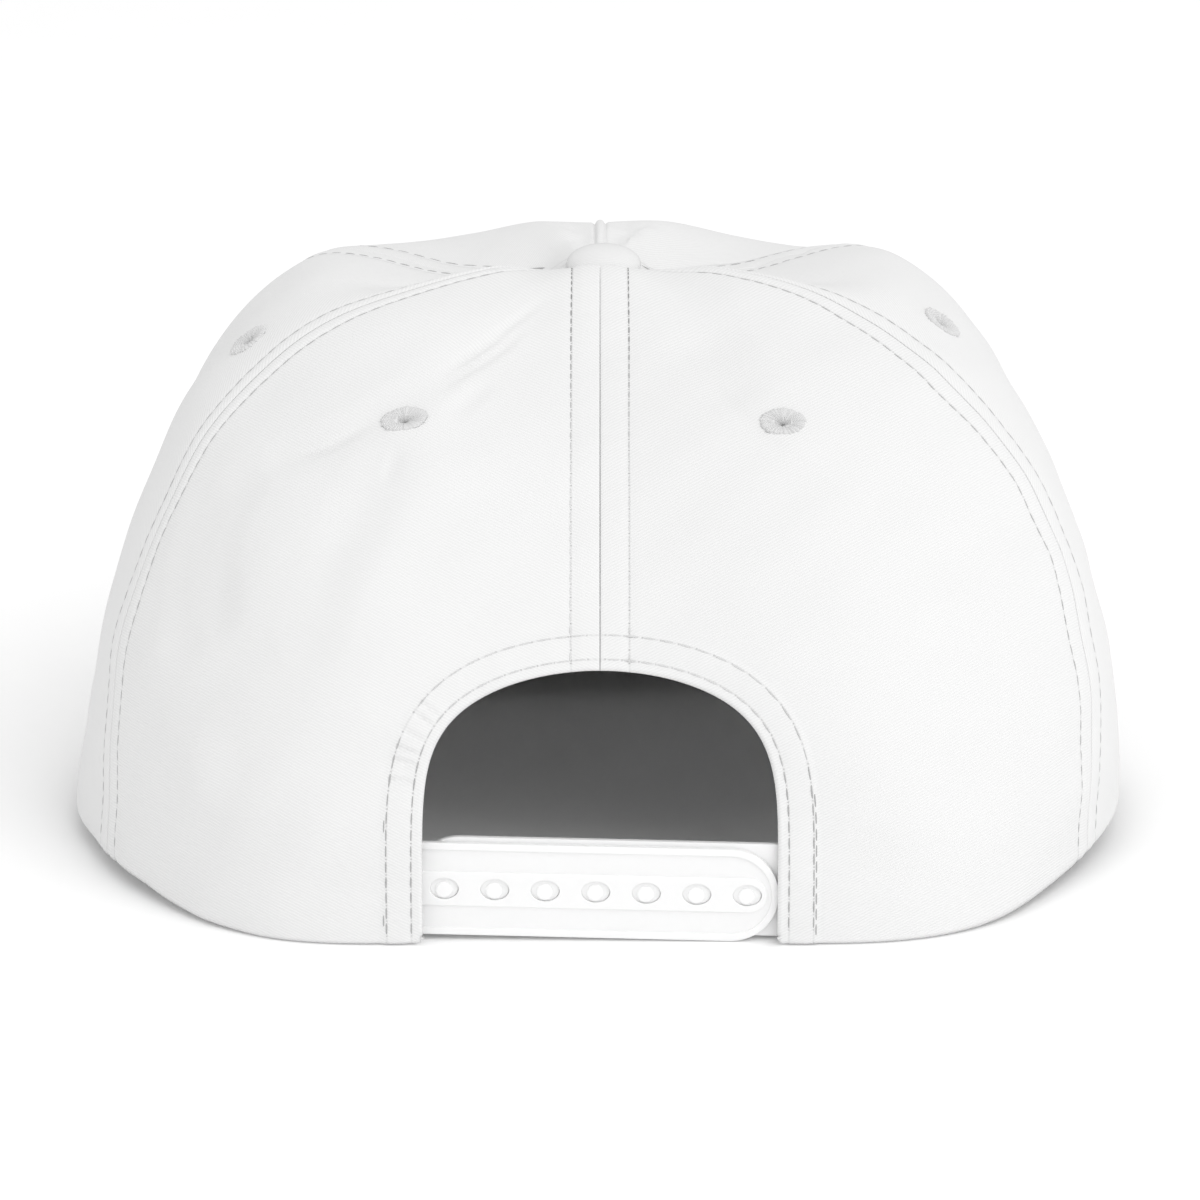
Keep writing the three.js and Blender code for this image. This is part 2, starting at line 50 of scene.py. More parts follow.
# Crown, in millimetres from the middle of its rear rim. A meridian leaves the rim towards wall and comes to
# the apex from top. Turn 0 is the centre back seam, 3 the front pinch, and every whole turn but 3 a seam.
crown = {
    "middleY": 116.8,
    "apex": (0, 84, 103.5),
    "wall": 1.5,
    "seatRadius": 8, "seatFade": 22, "seatRise": 6, "holeRadius": 3,
    "meridians": table("rim wall top", [
        ((0, 0, -1), (0, -3, 58), (0, 36, 93)),  # centre back seam
        ((59, 1, -1), (55, -3, 58), (38, 36, 101)),
        ((91.5, 38, 4), (91, 34, 60), (73, 55, 114)),  # rear side seam
        ((98, 82, 7), (91, 80, 62), (79, 80, 126)),
        ((82, 124, 9), (81, 128, 68), (70, 105, 121)),  # front side seam
        ((45, 153, 11), (46, 162, 70), (34, 130, 114)),
        ((0, 165, 12), (0, 173, 72), (0, 134, 118)),  # front pinch
    ]),
    "slopeStep": 0.01, "rimLift": 0.9, "rimRoll": 0.5, "rimRollHeight": 1.2, "aboutHigh": 150,
    "twill": (0.34, -0.38, 0.86), "twillUp": 0.35, "twillTilt": 0.35, "twillLean": 38,
}
# Height added near the button: a rim behind it, sags along the front side seams and fullness in front of
# them. Turns are counted from the back.
crownTop = {
    "rimHeight": 3.9, "rimFrom": 7.4, "rimFull": 10.5, "rimTo": 42, "rimPower": 2,
    "sagDepth": 7.2, "sagRadii": (5, 16, 28, 58), "sagTurns": (1.0, 1.35, 2.15, 2.7),
    "fullHeight": 1.8, "fullRadii": (12, 30, 40, 62), "fullTurns": (2.1, 2.45), "pinchTurns": (2.65, 3),
    "lessAtPinch": 0.8,
}
# Soft changes of the crown's shape: a place (turn, share of the way up), how far it reaches both ways and the
# shift there in millimetres
shaping = table("name place reach shift", [
    ("flatter upper left side", (4.5, 0.38), (0.8, 0.27), (1.5, 0, -0.7)),
    ("fuller top, left", (3.72, 0.7), (0.5, 0.3), (0, 0, 1.7)),
    ("fuller left shoulder", (4.2, 0.66), (0.35, 0.3), (0, 0, 0.6)),
    ("fuller top, right", (1.98, 0.68), (0.7, 0.3), (0, 0, 1.6)),
    ("flatter upper right side", (1.55, 0.46), (0.35, 0.14), (-0.8, 0, -0.5)),
    ("fuller lower right side", (1.28, 0.18), (0.6, 0.2), (1.8, 0, 0)),
    ("lower rim at left side", (4.75, 0.0), (0.45, 0.14), (-0.3, 0, -2.4)),
])
# How the side seams wander, as (share of the way up, turn away from the even place, share of the full
# distance to the topstitching), from the rim to the button
frontSeamPath = [(0, 0, 1), (0.4, 0.02, 1), (0.7, 0.08, 1), (1, 0.08, 1)]
seamPaths = {
    1: [(0, -0.03, 0.82), (0.1, -0.03, 0.82), (0.2, -0.018, 0.86), (0.35, 0.034, 0.76), (0.45, 0.022, 0.66),
        (0.6, 0.0, 0.74), (0.7, 0.01, 0.64), (0.8, 0.02, 0.45), (0.92, 0.01, 0.33), (1, 0, 0.3)],
    5: [(0, 0.013, 0.76), (0.1, 0.015, 0.76), (0.25, -0.01, 0.7), (0.4, -0.02, 0.47), (0.6, -0.008, 0.45),
        (0.72, 0.005, 0.47), (0.85, 0.02, 0.33), (1, 0, 0.26)],
    2: frontSeamPath,
    4: frontSeamPath,
}
seamReach = 0.45
crownTable = {
    key: np.array([row[key] for row in crown["meridians"]], float) for key in ("rim", "wall", "top")
}
apex = np.array(crown["apex"], float)


def smoothStep(value, start, end):
    share = np.clip((value - start) / (end - start), 0, 1)
    return share * share * (3 - 2 * share)


def plateau(value, start, full, fade, end):
    return smoothStep(value, start, full) * (1 - smoothStep(value, fade, end))


def fromApex(points):
    # Distance from the apex, seen from above
    return np.hypot(points[:, 0] - apex[0], points[:, 1] - apex[1])


def stepLengths(points):
    return np.linalg.norm(np.diff(points, axis=0), axis=1)


def tableRows(step, column):
    last = len(crown["meridians"]) - 1
    wrapped = np.mod(step, 2 * last)
    mirrored = wrapped > last
    rows = crownTable[column][np.where(mirrored, 2 * last - wrapped, wrapped)].copy()
    rows[mirrored, 0] *= -1
    return rows


def throughPoints(before, start, end, after, share):
    # A smooth curve from start to end, at a share of the way
    bend = 2 * before - 5 * start + 4 * end - after
    twist = 3 * start - before - 3 * end + after
    return start + 0.5 * share * (end - before + share * (bend + share * twist))


def tableCurve(turn, column):
    step = np.floor(turn * 2).astype(int)
    share = (turn * 2 - step)[:, None]
    return throughPoints(*[tableRows(step + shift, column) for shift in (-1, 0, 1, 2)], share)


def topHeight(turn, across, forward):
    radius = np.maximum(np.hypot(across, forward), 1e-6)
    fromBack = 3 - np.abs(np.mod(turn, 6) - 3)
    rim = np.maximum(-forward / radius, 0) ** crownTop["rimPower"]
    rim *= plateau(radius, crownTop["rimFrom"], crownTop["rimFull"], crownTop["rimFull"], crownTop["rimTo"])
    sag = plateau(fromBack, *crownTop["sagTurns"]) * plateau(radius, *crownTop["sagRadii"])
    full = smoothStep(fromBack, *crownTop["fullTurns"]) * plateau(radius, *crownTop["fullRadii"])
    full *= 1 - crownTop["lessAtPinch"] * smoothStep(fromBack, *crownTop["pinchTurns"])
    return crownTop["rimHeight"] * rim - crownTop["sagDepth"] * sag + crownTop["fullHeight"] * full


def wander(turn, up):
    # Turn of the crown's table for a turn counted in even panels
    moved = np.array(turn, float)
    for side, path in seamPaths.items():
        ups, shifts, _ = zip(*path)
        away = np.clip(np.abs(np.mod(turn, 6) - side) / seamReach, 0, 1)
        moved += np.interp(up, ups, shifts) * np.cos(math.pi / 2 * away) ** 2
    return moved


def shapeShift(turn, up):
    total = np.zeros((len(turn), 3))
    for row in shaping:
        across = (np.mod(turn, 6) - row["place"][0]) / row["reach"][0]
        share = np.minimum(np.hypot(across, (up - row["place"][1]) / row["reach"][1]), 1)
        total += ((1 - share * share) ** 2)[:, None] * np.array(row["shift"], float)
    return total


def smoothPoints(turn, up):
    turn = wander(turn, up)
    rest = (1 - up)[:, None]
    rise = up[:, None]
    points = tableCurve(turn, "rim") * rest ** 3 + apex * rise ** 3
    points += 3 * rest * rise * (tableCurve(turn, "wall") * rest + tableCurve(turn, "top") * rise)
    pull = 1 - smoothStep(fromApex(points), crown["seatRadius"], crown["seatFade"])
    seatHeight = apex[2] + (points[:, 1] - apex[1]) * math.tan(math.radians(crown["seatRise"]))
    points[:, 2] += (seatHeight - points[:, 2]) * pull
    points[:, 2] += topHeight(turn, points[:, 0] - apex[0], points[:, 1] - apex[1])
    return points + shapeShift(turn, up)


def unit(vectors):
    return vectors / np.maximum(np.linalg.norm(vectors, axis=1), 1e-12)[:, None]


def smoothNormals(turn, up):
    step = crown["slopeStep"]
    place = np.clip(up, step, 1 - 2 * step)
    around = smoothPoints(turn + step, place) - smoothPoints(turn - step, place)
    upward = smoothPoints(turn, place + step) - smoothPoints(turn, place - step)
    return unit(np.cross(around, upward))


def topOfPanel(turn):
    reach = np.linalg.norm(tableCurve(turn, "top") - apex, axis=1)
    return 1 - crown["holeRadius"] / (3 * reach)


def widthOfTurn(turn, up):
    step = crown["slopeStep"]
    return np.linalg.norm(smoothPoints(turn + step, up) - smoothPoints(turn - step, up), axis=1) / (2 * step)


crownToFrame = Matrix.Translation((0, -crown["middleY"] * mm, 0)) @ Matrix.Scale(mm, 4)


def toFrame(points):
    return (points - (0, crown["middleY"], 0)) * mm


def distanceToLine(points, line):
    # Distance to a line of points, and how far along the line the nearest place is
    best = np.full(len(points), np.inf)
    along = np.zeros(len(points))
    walked = 0.0
    for start, end in zip(line[:-1], line[1:]):
        step = end - start
        length = np.linalg.norm(step)
        share = np.clip((points - start) @ step / (length * length), 0, 1)
        gap = np.linalg.norm(points - start - share[:, None] * step, axis=1)
        nearer = gap < best
        best[nearer] = gap[nearer]
        along[nearer] = walked + share[nearer] * length
        walked += length
    return best, along


# Folds and dents: the width in millimetres where it fades, the depth pressed in, and a line of places (turn,
# share of the way up)
folds = table("name width depth line", [
    ("crease at left eyelet", 6, 0.4, [(5.62, 0.87), (5.5, 0.78), (5.46, 0.7), (5.38, 0.61), (5.26, 0.54)]),
    ("hollow beside that crease", 15, 0.9, [(5.57, 0.84), (5.64, 0.66)]),
    ("puff above that crease", 17, -0.5, [(5.3, 0.8), (5.2, 0.66)]),
    ("long soft fold", 8, 0.6, [(5.49, 0.57), (5.49, 0.47), (5.48, 0.35)]),
    ("swell right of it", 10, -0.45, [(5.58, 0.56), (5.57, 0.42)]),
    ("hollow beside left seam", 7, 0.45, [(5.13, 0.435), (5.16, 0.37), (5.21, 0.29)]),
    ("swell between folds", 9, -0.45, [(5.33, 0.5), (5.31, 0.42), (5.34, 0.35)]),
    ("second hollow at left seam", 7, 0.4, [(5.2, 0.48), (5.22, 0.4), (5.27, 0.34)]),
    ("hollow left of arch", 12, 1.0, [(5.78, 0.24), (5.62, 0.22), (5.4, 0.19)]),
    ("swell beside left leg", 12, -0.6, [(5.74, 0.14), (5.6, 0.13)]),
    ("hollow over left corner", 8, 0.6, [(5.79, 0.29), (5.68, 0.28)]),
    ("fold below right seam", 9, 0.7, [(0.67, 0.9), (0.49, 0.81), (0.43, 0.72)]),
    ("crease at right eyelet", 9, 0.3, [(0.33, 0.77), (0.42, 0.63), (0.58, 0.5)]),
    ("hollow beside right leg", 8, 0.5, [(0.34, 0.11), (0.42, 0.092), (0.5, 0.08)]),
])
# Sharper creases, too fine for the solid parts
creases = table("name width depth line", [
    ("upper line to left eyelet", 1.5, 0.55,
     [(5.638, 0.884), (5.574, 0.85), (5.518, 0.805), (5.486, 0.762), (5.468, 0.714), (5.465, 0.682)]),
    ("lower line to left eyelet", 1.5, 0.55,
     [(5.632, 0.834), (5.597, 0.795), (5.55, 0.759), (5.514, 0.725), (5.499, 0.679)]),
    ("line between them", 1.3, 0.4, [(5.583, 0.822), (5.537, 0.797), (5.499, 0.77), (5.484, 0.738)]),
    ("soft line below them", 3, 0.5, [(5.63, 0.742), (5.611, 0.708), (5.593, 0.676), (5.581, 0.648)]),
    ("line past left eyelet", 1.8, 0.45, [(5.409, 0.63), (5.372, 0.601), (5.322, 0.564), (5.249, 0.537)]),
    ("short line below it", 2.2, 0.32, [(5.5, 0.6), (5.52, 0.54)]),
    ("line at right eyelet", 2.0, 0.32, [(0.35, 0.75), (0.42, 0.63), (0.57, 0.5)]),
    ("upper line out of arch tucks", 3, 0.3, [(5.73, 0.24), (5.67, 0.23), (5.58, 0.2)]),
    ("lower line out of arch tucks", 3, 0.25, [(5.72, 0.2), (5.66, 0.195)]),
    ("front wrinkle, left", 3.4, 0.8, [(3.05, 0.95), (3.25, 0.9), (3.45, 0.91)]),
    ("second front wrinkle, left", 3, 0.7, [(3.06, 0.91), (3.2, 0.86), (3.3, 0.87)]),
    ("front wrinkle, right", 3.6, 0.8, [(2.95, 0.94), (2.75, 0.88), (2.6, 0.9)]),
    ("second front wrinkle, right", 3.2, 0.7, [(2.94, 0.9), (2.72, 0.84), (2.6, 0.86)]),
    ("third front wrinkle, right", 3, 0.5, [(2.9, 0.86), (2.8, 0.81)]),
    ("wrinkle across front right seam", 2.4, 0.4, [(1.9, 0.86), (2.05, 0.8)]),
    ("second wrinkle across it", 2.4, 0.4, [(1.88, 0.8), (2.06, 0.74)]),
])
creaseTaper = 0.35  # share of a crease's length over which each end fades


def foldLine(line, count=12):
    # A smooth curve through the places of a fold
    places = np.array([line[0]] + line + [line[-1]], float)
    points = []
    for share in np.linspace(0, len(line) - 1, count):
        first = min(int(share), len(line) - 2)
        points.append(throughPoints(*places[first:first + 4], share - first))
    return smoothPoints(*np.array(points).T)


foldLines = [{**row, "points": foldLine(row["line"]), "taper": 0} for row in folds]
foldLines += [{**row, "points": foldLine(row["line"]), "taper": creaseTaper} for row in creases]


def pressedIn(points):
    depth = np.zeros(len(points))
    for row in foldLines:
        distance, along = distanceToLine(points, row["points"])
        share = np.minimum(distance / row["width"], 1)
        pressed = row["depth"] * (1 - share * share) ** 2
        if row["taper"]:
            length = stepLengths(row["points"]).sum()
            pressed *= smoothStep(np.minimum(along, length - along), 0, row["taper"] * length)
        depth += pressed
    return depth


# Seams and hem, in millimetres. A roll is the dip into the seam itself, between the two panels. Near the
# button the side and front seams are calm, up to the first radius.
seam = {
    "stitchLine": 5.2, "rolls": {"centre": (0.5, 0.25), "side": (0.7, 0.2)},
    "puffs": {"centre": 0.1, "side": 0.12}, "puffPlace": (0.3, 2.0, 3.2, 5.2),
    "pull": 0.13, "pullWidth": 1.0, "pucker": 0.06, "puckerTo": 9.5,
    "puckerLengths": (4.9, 7.3, 3.7, 11.0), "pitch": 2.45, "sidePitch": 2.8, "calmRadii": (9, 24),
}
arch = {
    "halfWidth": 31.6, "height": 47.85, "uprightness": 6.5,
    "hemWidth": 7.8, "hemHeight": 0.35, "hemFade": 1.6, "edgeWidth": 0.8, "edgeDepth": 0.45,
    "stitchLines": (2.0, 6.4), "pitch": 2.9, "pull": 0.1, "pullWidth": 0.9, "cornerRadius": 1.8,
    "puckerPlace": (1.6, 3.4, 5.4, 7.6), "pucker": 0.07, "puckerLengths": (4.1, 6.7, 9.1),
    "tuckPlace": (27, 30, 40, 43), "tuck": 0.38, "tuckPitch": 2.3,
}
pinch = {
    "halfWidth": 0.9, "height": 0.5, "grooveDepth": 0.4, "grooveWidth": 0.35, "grooveAside": 0.1,
    "radii": (8, 10), "fade": (0.42, 0.62),
}


def archOutline(angle):
    # The rounded arch as x and height, for angles from 0 at the right leg to pi at the left leg
    across = arch["halfWidth"] * np.cos(angle)
    height = arch["height"] * np.abs(np.sin(angle)) ** (2 / arch["uprightness"])
    return across, height


def placeOnBack(across, height):
    # Turn and share of the way up of points of the back, by Newton steps. Turns are negative on the left.
    turn, up = across / 110, height / 180
    step = 1e-3
    for _ in range(12):
        here = smoothPoints(turn, up)[:, (0, 2)]
        byTurn = (smoothPoints(turn + step, up)[:, (0, 2)] - here) / step
        byUp = (smoothPoints(turn, up + step)[:, (0, 2)] - here) / step
        miss = np.stack([across, height], axis=1) - here
        size = byTurn[:, 0] * byUp[:, 1] - byTurn[:, 1] * byUp[:, 0]
        turn = turn + (miss[:, 0] * byUp[:, 1] - miss[:, 1] * byUp[:, 0]) / size
        up = up + (byTurn[:, 0] * miss[:, 1] - byTurn[:, 1] * miss[:, 0]) / size
    return turn, np.maximum(up, 0)


def archPlaces(angle):
    return placeOnBack(*archOutline(angle))


def seamLine(turn, count=120):
    turns = np.full(count, float(turn))
    return smoothPoints(turns, np.linspace(0, 1, count) * topOfPanel(turns))


seamLines = {turn: seamLine(turn) for turn in (0, 1, 2, 4, 5, 6)}
archAngles = math.pi / 2 * (1 - np.cos(np.linspace(0, math.pi, 241)))  # closer together down the legs
archLine = smoothPoints(*archPlaces(archAngles))


def wave(along, lengths, seed):
    # A sum of a few waves with fixed lengths, for small puckers
    total = np.zeros(len(along))
    for index, length in enumerate(lengths):
        total += np.sin(2 * math.pi * along / length + 1.7 * index + seed)
    return total / len(lengths)


def stitchSpread(side, up):
    # Share of the full distance between a seam and its topstitching
    if side not in seamPaths:
        return np.ones(len(up))
    ups, _, shares = zip(*seamPaths[side])
    return np.interp(up, ups, shares)


def seamRelief(side, distance, along, seed):
    kind = "centre" if side in (0, 6) else "side"
    rollWidth, rollDepth = seam["rolls"][kind]
    roll = -rollDepth * (1 - np.clip(distance / rollWidth, 0, 1)) ** 2
    puff = seam["puffs"][kind] * plateau(distance, *seam["puffPlace"])
    pull = -seam["pull"] * np.exp(-((distance - seam["stitchLine"]) / seam["pullWidth"]) ** 2)
    pucker = seam["pucker"] * wave(along, seam["puckerLengths"], seed)
    return roll + puff + pull + pucker * plateau(distance, 0.2, 1.5, seam["stitchLine"], seam["puckerTo"])


archLength = float(stepLengths(archLine).sum())


def hemRelief(distance, along):
    edge = -arch["edgeDepth"] * (1 - np.clip(distance / arch["edgeWidth"], 0, 1)) ** 2
    width = arch["hemWidth"]
    raised = arch["hemHeight"] * (1 - smoothStep(distance, width - arch["hemFade"], width))
    pull = sum(
        -arch["pull"] * np.exp(-((distance - line) / arch["pullWidth"]) ** 2) for line in arch["stitchLines"])
    onLeftCurve = plateau(archLength - along, *arch["tuckPlace"])
    tuckWave = np.sin(2 * math.pi * along / arch["tuckPitch"] + np.sin(along))
    tucks = -arch["tuck"] * onLeftCurve * np.clip(tuckWave, 0, 1) ** 1.5
    pucker = arch["pucker"] * wave(along, arch["puckerLengths"], 0.5)
    return edge + raised + pull + plateau(distance, *arch["puckerPlace"]) * (tucks + pucker)


def softWaves(points, seed):
    # Broad, shallow unevenness of hand-sewn cloth
    total = np.zeros(len(points))
    rng = np.random.default_rng(seed)
    for length, height in ((46, 0.22), (31, 0.16), (19, 0.09), (12, 0.045)):
        for _ in range(3):
            direction = rng.normal(size=3)
            direction /= np.linalg.norm(direction)
            total += height * np.sin(points @ direction * 2 * math.pi / length + rng.uniform(0, 6.28))
    return total


def pinchHeight(points, turn, up):
    away = np.abs(turn - 3) * widthOfTurn(turn, up)
    share = np.clip(away / pinch["halfWidth"], 0, 1)
    groove = np.exp(-((away - pinch["halfWidth"] - pinch["grooveAside"]) / pinch["grooveWidth"]) ** 2)
    height = pinch["height"] * np.sqrt(1 - share ** 2) - pinch["grooveDepth"] * groove
    return height * smoothStep(fromApex(points), *pinch["radii"]) * smoothStep(up, *pinch["fade"])


def clothPoints(panel, turn, up):
    # Places on the finished outer face of a panel, in millimetres, with its folds, seams and hem
    points = smoothPoints(turn, up)
    normals = smoothNormals(turn, up)
    relief = softWaves(points, 7) * smoothStep(1 - up, 0.02, 0.25) - pressedIn(points)
    for side in (panel["from"], panel["to"]):
        distance, along = distanceToLine(points, seamLines[side])
        if side in (0, 6):
            above = smoothStep(points[:, 2], arch["height"] - 2, arch["height"] + 2)
        else:
            above = smoothStep(fromApex(points), *seam["calmRadii"])
        relief = relief + above * seamRelief(side, distance / stitchSpread(side, up), along, side + 0.3)
    if panel["from"] in (0, 5):
        fromArch, alongArch = distanceToLine(points, archLine)
        relief = relief + hemRelief(fromArch, alongArch)
    if panel["from"] == 2:
        relief = relief + pinchHeight(points, turn, up)
    fromRim = np.clip(up * crown["aboutHigh"] / crown["rimRollHeight"], 0, 1)
    rimRoll = -crown["rimRoll"] * (1 - fromRim) ** 2
    points = points + normals * (relief + rimRoll)[:, None]
    points[:, 2] = (points[:, 2] + np.hypot(points[:, 2], crown["rimLift"])) / 2
    if panel["from"] in (0, 5):
        inward = np.clip(arch["cornerRadius"] - fromArch, 0, arch["cornerRadius"])
        corner = arch["cornerRadius"] - np.sqrt(arch["cornerRadius"] ** 2 - inward ** 2)
        points[:, 2] = np.maximum(points[:, 2], corner * smoothStep(points[:, 2], 3, 0.5))
    return points


def clothCoordinates(turn, up, middle):
    # Width and height of a place in the flat cloth, in millimetres, by walking over the crown
    height = np.zeros(len(turn))
    width = np.zeros(len(turn))
    steps = 10
    for step in range(steps):
        low, high = step / steps, (step + 1) / steps
        height += np.linalg.norm(smoothPoints(turn, up * high) - smoothPoints(turn, up * low), axis=1)
        nearTurn = middle + (turn - middle) * low
        farTurn = middle + (turn - middle) * high
        width += np.linalg.norm(smoothPoints(farTurn, up) - smoothPoints(nearTurn, up), axis=1)
    return width * np.sign(turn - middle), height


def twillCoordinates(panel, points, width, height):
    # Places in the cloth, along and across the ribs of the twill, in millimetres
    if not panel["name"].startswith("rear"):
        lean = math.radians(crown["twillLean"])
        width = width * (-1 if panel["from"] == 4 else 1)
        along = width * math.cos(lean) + height * math.sin(lean)
        return np.stack([along, height * math.cos(lean) - width * math.sin(lean)], axis=1)
    middle = np.array([(panel["from"] + panel["to"]) / 2]), np.array([crown["twillUp"]])
    facing = smoothNormals(*middle)[0] * (1, 1, 0)
    facing /= np.linalg.norm(facing)
    side = -1 if panel["from"] < 2 else 1
    aside = np.cross((0, 0, 1), facing) * side
    across = aside * crown["twill"][0] + facing * crown["twill"][1] + np.array((0, 0, crown["twill"][2]))
    along = np.cross(across, facing + (0, 0, crown["twillTilt"]))
    return np.stack([points @ along, points @ across], axis=1)


def easeEnds(share, amount=0.75):
    return share - amount * np.sin(2 * math.pi * share) / (2 * math.pi)


# Panels of the crown. Columns run between the seams and rows run up to the button.
panels = table("name from to columns rows", [
    ("rear_panel_right", 0, 1, 200, 190),
    ("side_panel_right", 1, 2, 96, 150),
    ("front_panel", 2, 4, 200, 130),
    ("side_panel_left", 4, 5, 96, 150),
    ("rear_panel_left", 5, 6, 200, 190),
])
seamGap = 0.03  # millimetres between the rolled edges of two panels


def panelPlaces(panel, across, upward):
    # Turn and share of the way up for places of a panel's grid, from 0 to 1 each way
    start, end = [
        panel[side] + sign * seamGap / widthOfTurn(np.full(len(upward), float(panel[side])), upward * 0.97)
        for side, sign in (("from", 1), ("to", -1))
    ]
    turn = start + (end - start) * easeEnds(across)
    if panel["name"] == "front_panel":
        away = easeEnds(np.abs(across - 0.5) * 2, 0.82)
        turn = 3 + np.sign(across - 0.5) * (end - start) / 2 * away
    return turn, upward * topOfPanel(turn)


# Grid of a rear panel: rays from the arch to the side seam, and above the turn point to the button
rearRays = {"turnPoint": 0.75, "shareOnSide": 0.74, "closeness": 1.4, "gap": 0.0005, "ease": 0.7}


def rearPanelPlaces(panel, across, upward):
    turnPoint, shareOnSide, gap = rearRays["turnPoint"], rearRays["shareOnSide"], rearRays["gap"]
    onSide = upward < turnPoint
    left = np.clip((1 - upward) / (1 - turnPoint), 0, 1) ** rearRays["closeness"]
    walked = np.where(onSide, upward / turnPoint * shareOnSide, 1 - (1 - shareOnSide) * left)
    angles = math.pi / 2 * (1 - np.cos(np.linspace(0, math.pi / 2, 600)))
    length = np.concatenate([[0], np.cumsum(stepLengths(np.stack(archOutline(angles), axis=1)))])
    fromTurn, fromUp = archPlaces(np.interp(walked, length / length[-1], angles))
    toTurn = np.where(onSide, 1 - gap, gap + (1 - 2 * gap) * left)
    toUp = np.where(onSide, upward / turnPoint, 1.0) * topOfPanel(toTurn)
    share = easeEnds(across, rearRays["ease"])
    turn = np.maximum(fromTurn + (toTurn - fromTurn) * share, gap)
    return 6 - turn if panel["from"] == 5 else turn, fromUp + (toUp - fromUp) * share


def meshOf(bm, name):
    mesh = bpy.data.meshes.new(name)
    bm.to_mesh(mesh)
    bm.free()
    return mesh


def weld(bm):
    bmesh.ops.remove_doubles(bm, verts=bm.verts, dist=1e-5)
    bmesh.ops.recalc_face_normals(bm, faces=bm.faces)


def drawUv(bm, name, uvOf):
    layer = bm.loops.layers.uv.new(name)
    for face in bm.faces:
        for loop in face.loops:
            loop[layer].uv = uvOf(loop.vert.co)


def newObject(name, data):
    made = bpy.data.objects.new(name, data)
    bpy.context.scene.collection.objects.link(made)
    return made


def addUv(mesh, name, values):
    layer = mesh.uv_layers.new(name=name)
    loops = np.empty(len(mesh.loops), int)
    mesh.loops.foreach_get("vertex_index", loops)
    layer.data.foreach_set("uv", np.asarray(values, float)[loops].ravel())


def gridObject(name, columns, rows, place, holes=()):
    # A grid whose points are put in place by a function, with its faces turned to the outside. Holes are
    # (centre, radius) pairs where its faces are left out.
    bm = bmesh.new()
    bmesh.ops.create_grid(bm, x_segments=columns, y_segments=rows, size=1)
    flat = np.array([vert.co[:2] for vert in bm.verts]) / 2 + 0.5
    points, uvMaps, outward = place(flat[:, 0], flat[:, 1])
    for vert, point in zip(bm.verts, points):
        vert.co = point
    bm.normal_update()
    normals = np.array([vert.normal for vert in bm.verts])
    if np.mean(np.sum(normals * outward, axis=1)) < 0:
        bmesh.ops.reverse_faces(bm, faces=bm.faces)
    mesh = meshOf(bm, name)
    for uvName, values in uvMaps.items():
        addUv(mesh, uvName, values)
    if holes:
        bm = bmesh.new()
        bm.from_mesh(mesh)
        middles = np.array([face.calc_center_median() for face in bm.faces])
        for centre, radius in holes:
            inside = np.linalg.norm(middles - np.array(centre), axis=1) < radius
            bm.faces.ensure_lookup_table()
            cut = [bm.faces[index] for index in np.flatnonzero(inside)]
            bmesh.ops.delete(bm, geom=cut, context="FACES")
            middles = middles[~inside]
        bm.to_mesh(mesh)
        bm.free()
    mesh.shade_smooth()
    return newObject(name, mesh)


def addWall(piece, thickness):
    wall = piece.modifiers.new("wall", "SOLIDIFY")
    wall.thickness = thickness
    wall.offset = -1
    wall.use_rim = True


def finishPiece(piece, material, node=None):
    piece.data.materials.append(material)
    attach(piece, "root")
    if node:
        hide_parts(node)


# Materials
def gray(value):
    return value, value, value, 1


def addNode(tree, kind, inputs=None, **settings):
    node = tree.nodes.new(kind)
    for key, value in settings.items():
        setattr(node, key, value)
    for key, value in (inputs or {}).items():
        if isinstance(value, bpy.types.NodeSocket):
            tree.links.new(value, node.inputs[key])
        else:
            node.inputs[key].default_value = value
    return node


def mathNode(tree, operation, first, second=None):
    inputs = {0: first} if second is None else {0: first, 1: second}
    return addNode(tree, "ShaderNodeMath", inputs, operation=operation).outputs[0]


def sumOf(tree, *values):
    total = values[0]
    for value in values[1:]:
        total = mathNode(tree, "ADD", total, value)
    return total


def productOf(tree, first, second):
    return mathNode(tree, "MULTIPLY", first, second)


def partsOf(tree, vector):
    return addNode(tree, "ShaderNodeSeparateXYZ", {0: vector}).outputs


def noiseOf(tree, vector, scale, detail=2.0):
    noise = addNode(tree, "ShaderNodeTexNoise", {"Vector": vector, "Scale": scale, "Detail": detail})
    return noise.outputs["Fac"]


def newGroup(name, inputs, outputs):
    group = bpy.data.node_groups.new(name, "ShaderNodeTree")
    for socketName, kind, value in inputs:
        socket = group.interface.new_socket(socketName, in_out="INPUT", socket_type=kind)
        if value is not None:
            socket.default_value = value
    for socketName, kind in outputs:
        group.interface.new_socket(socketName, in_out="OUTPUT", socket_type=kind)
    return group, group.nodes.new("NodeGroupInput"), group.nodes.new("NodeGroupOutput")


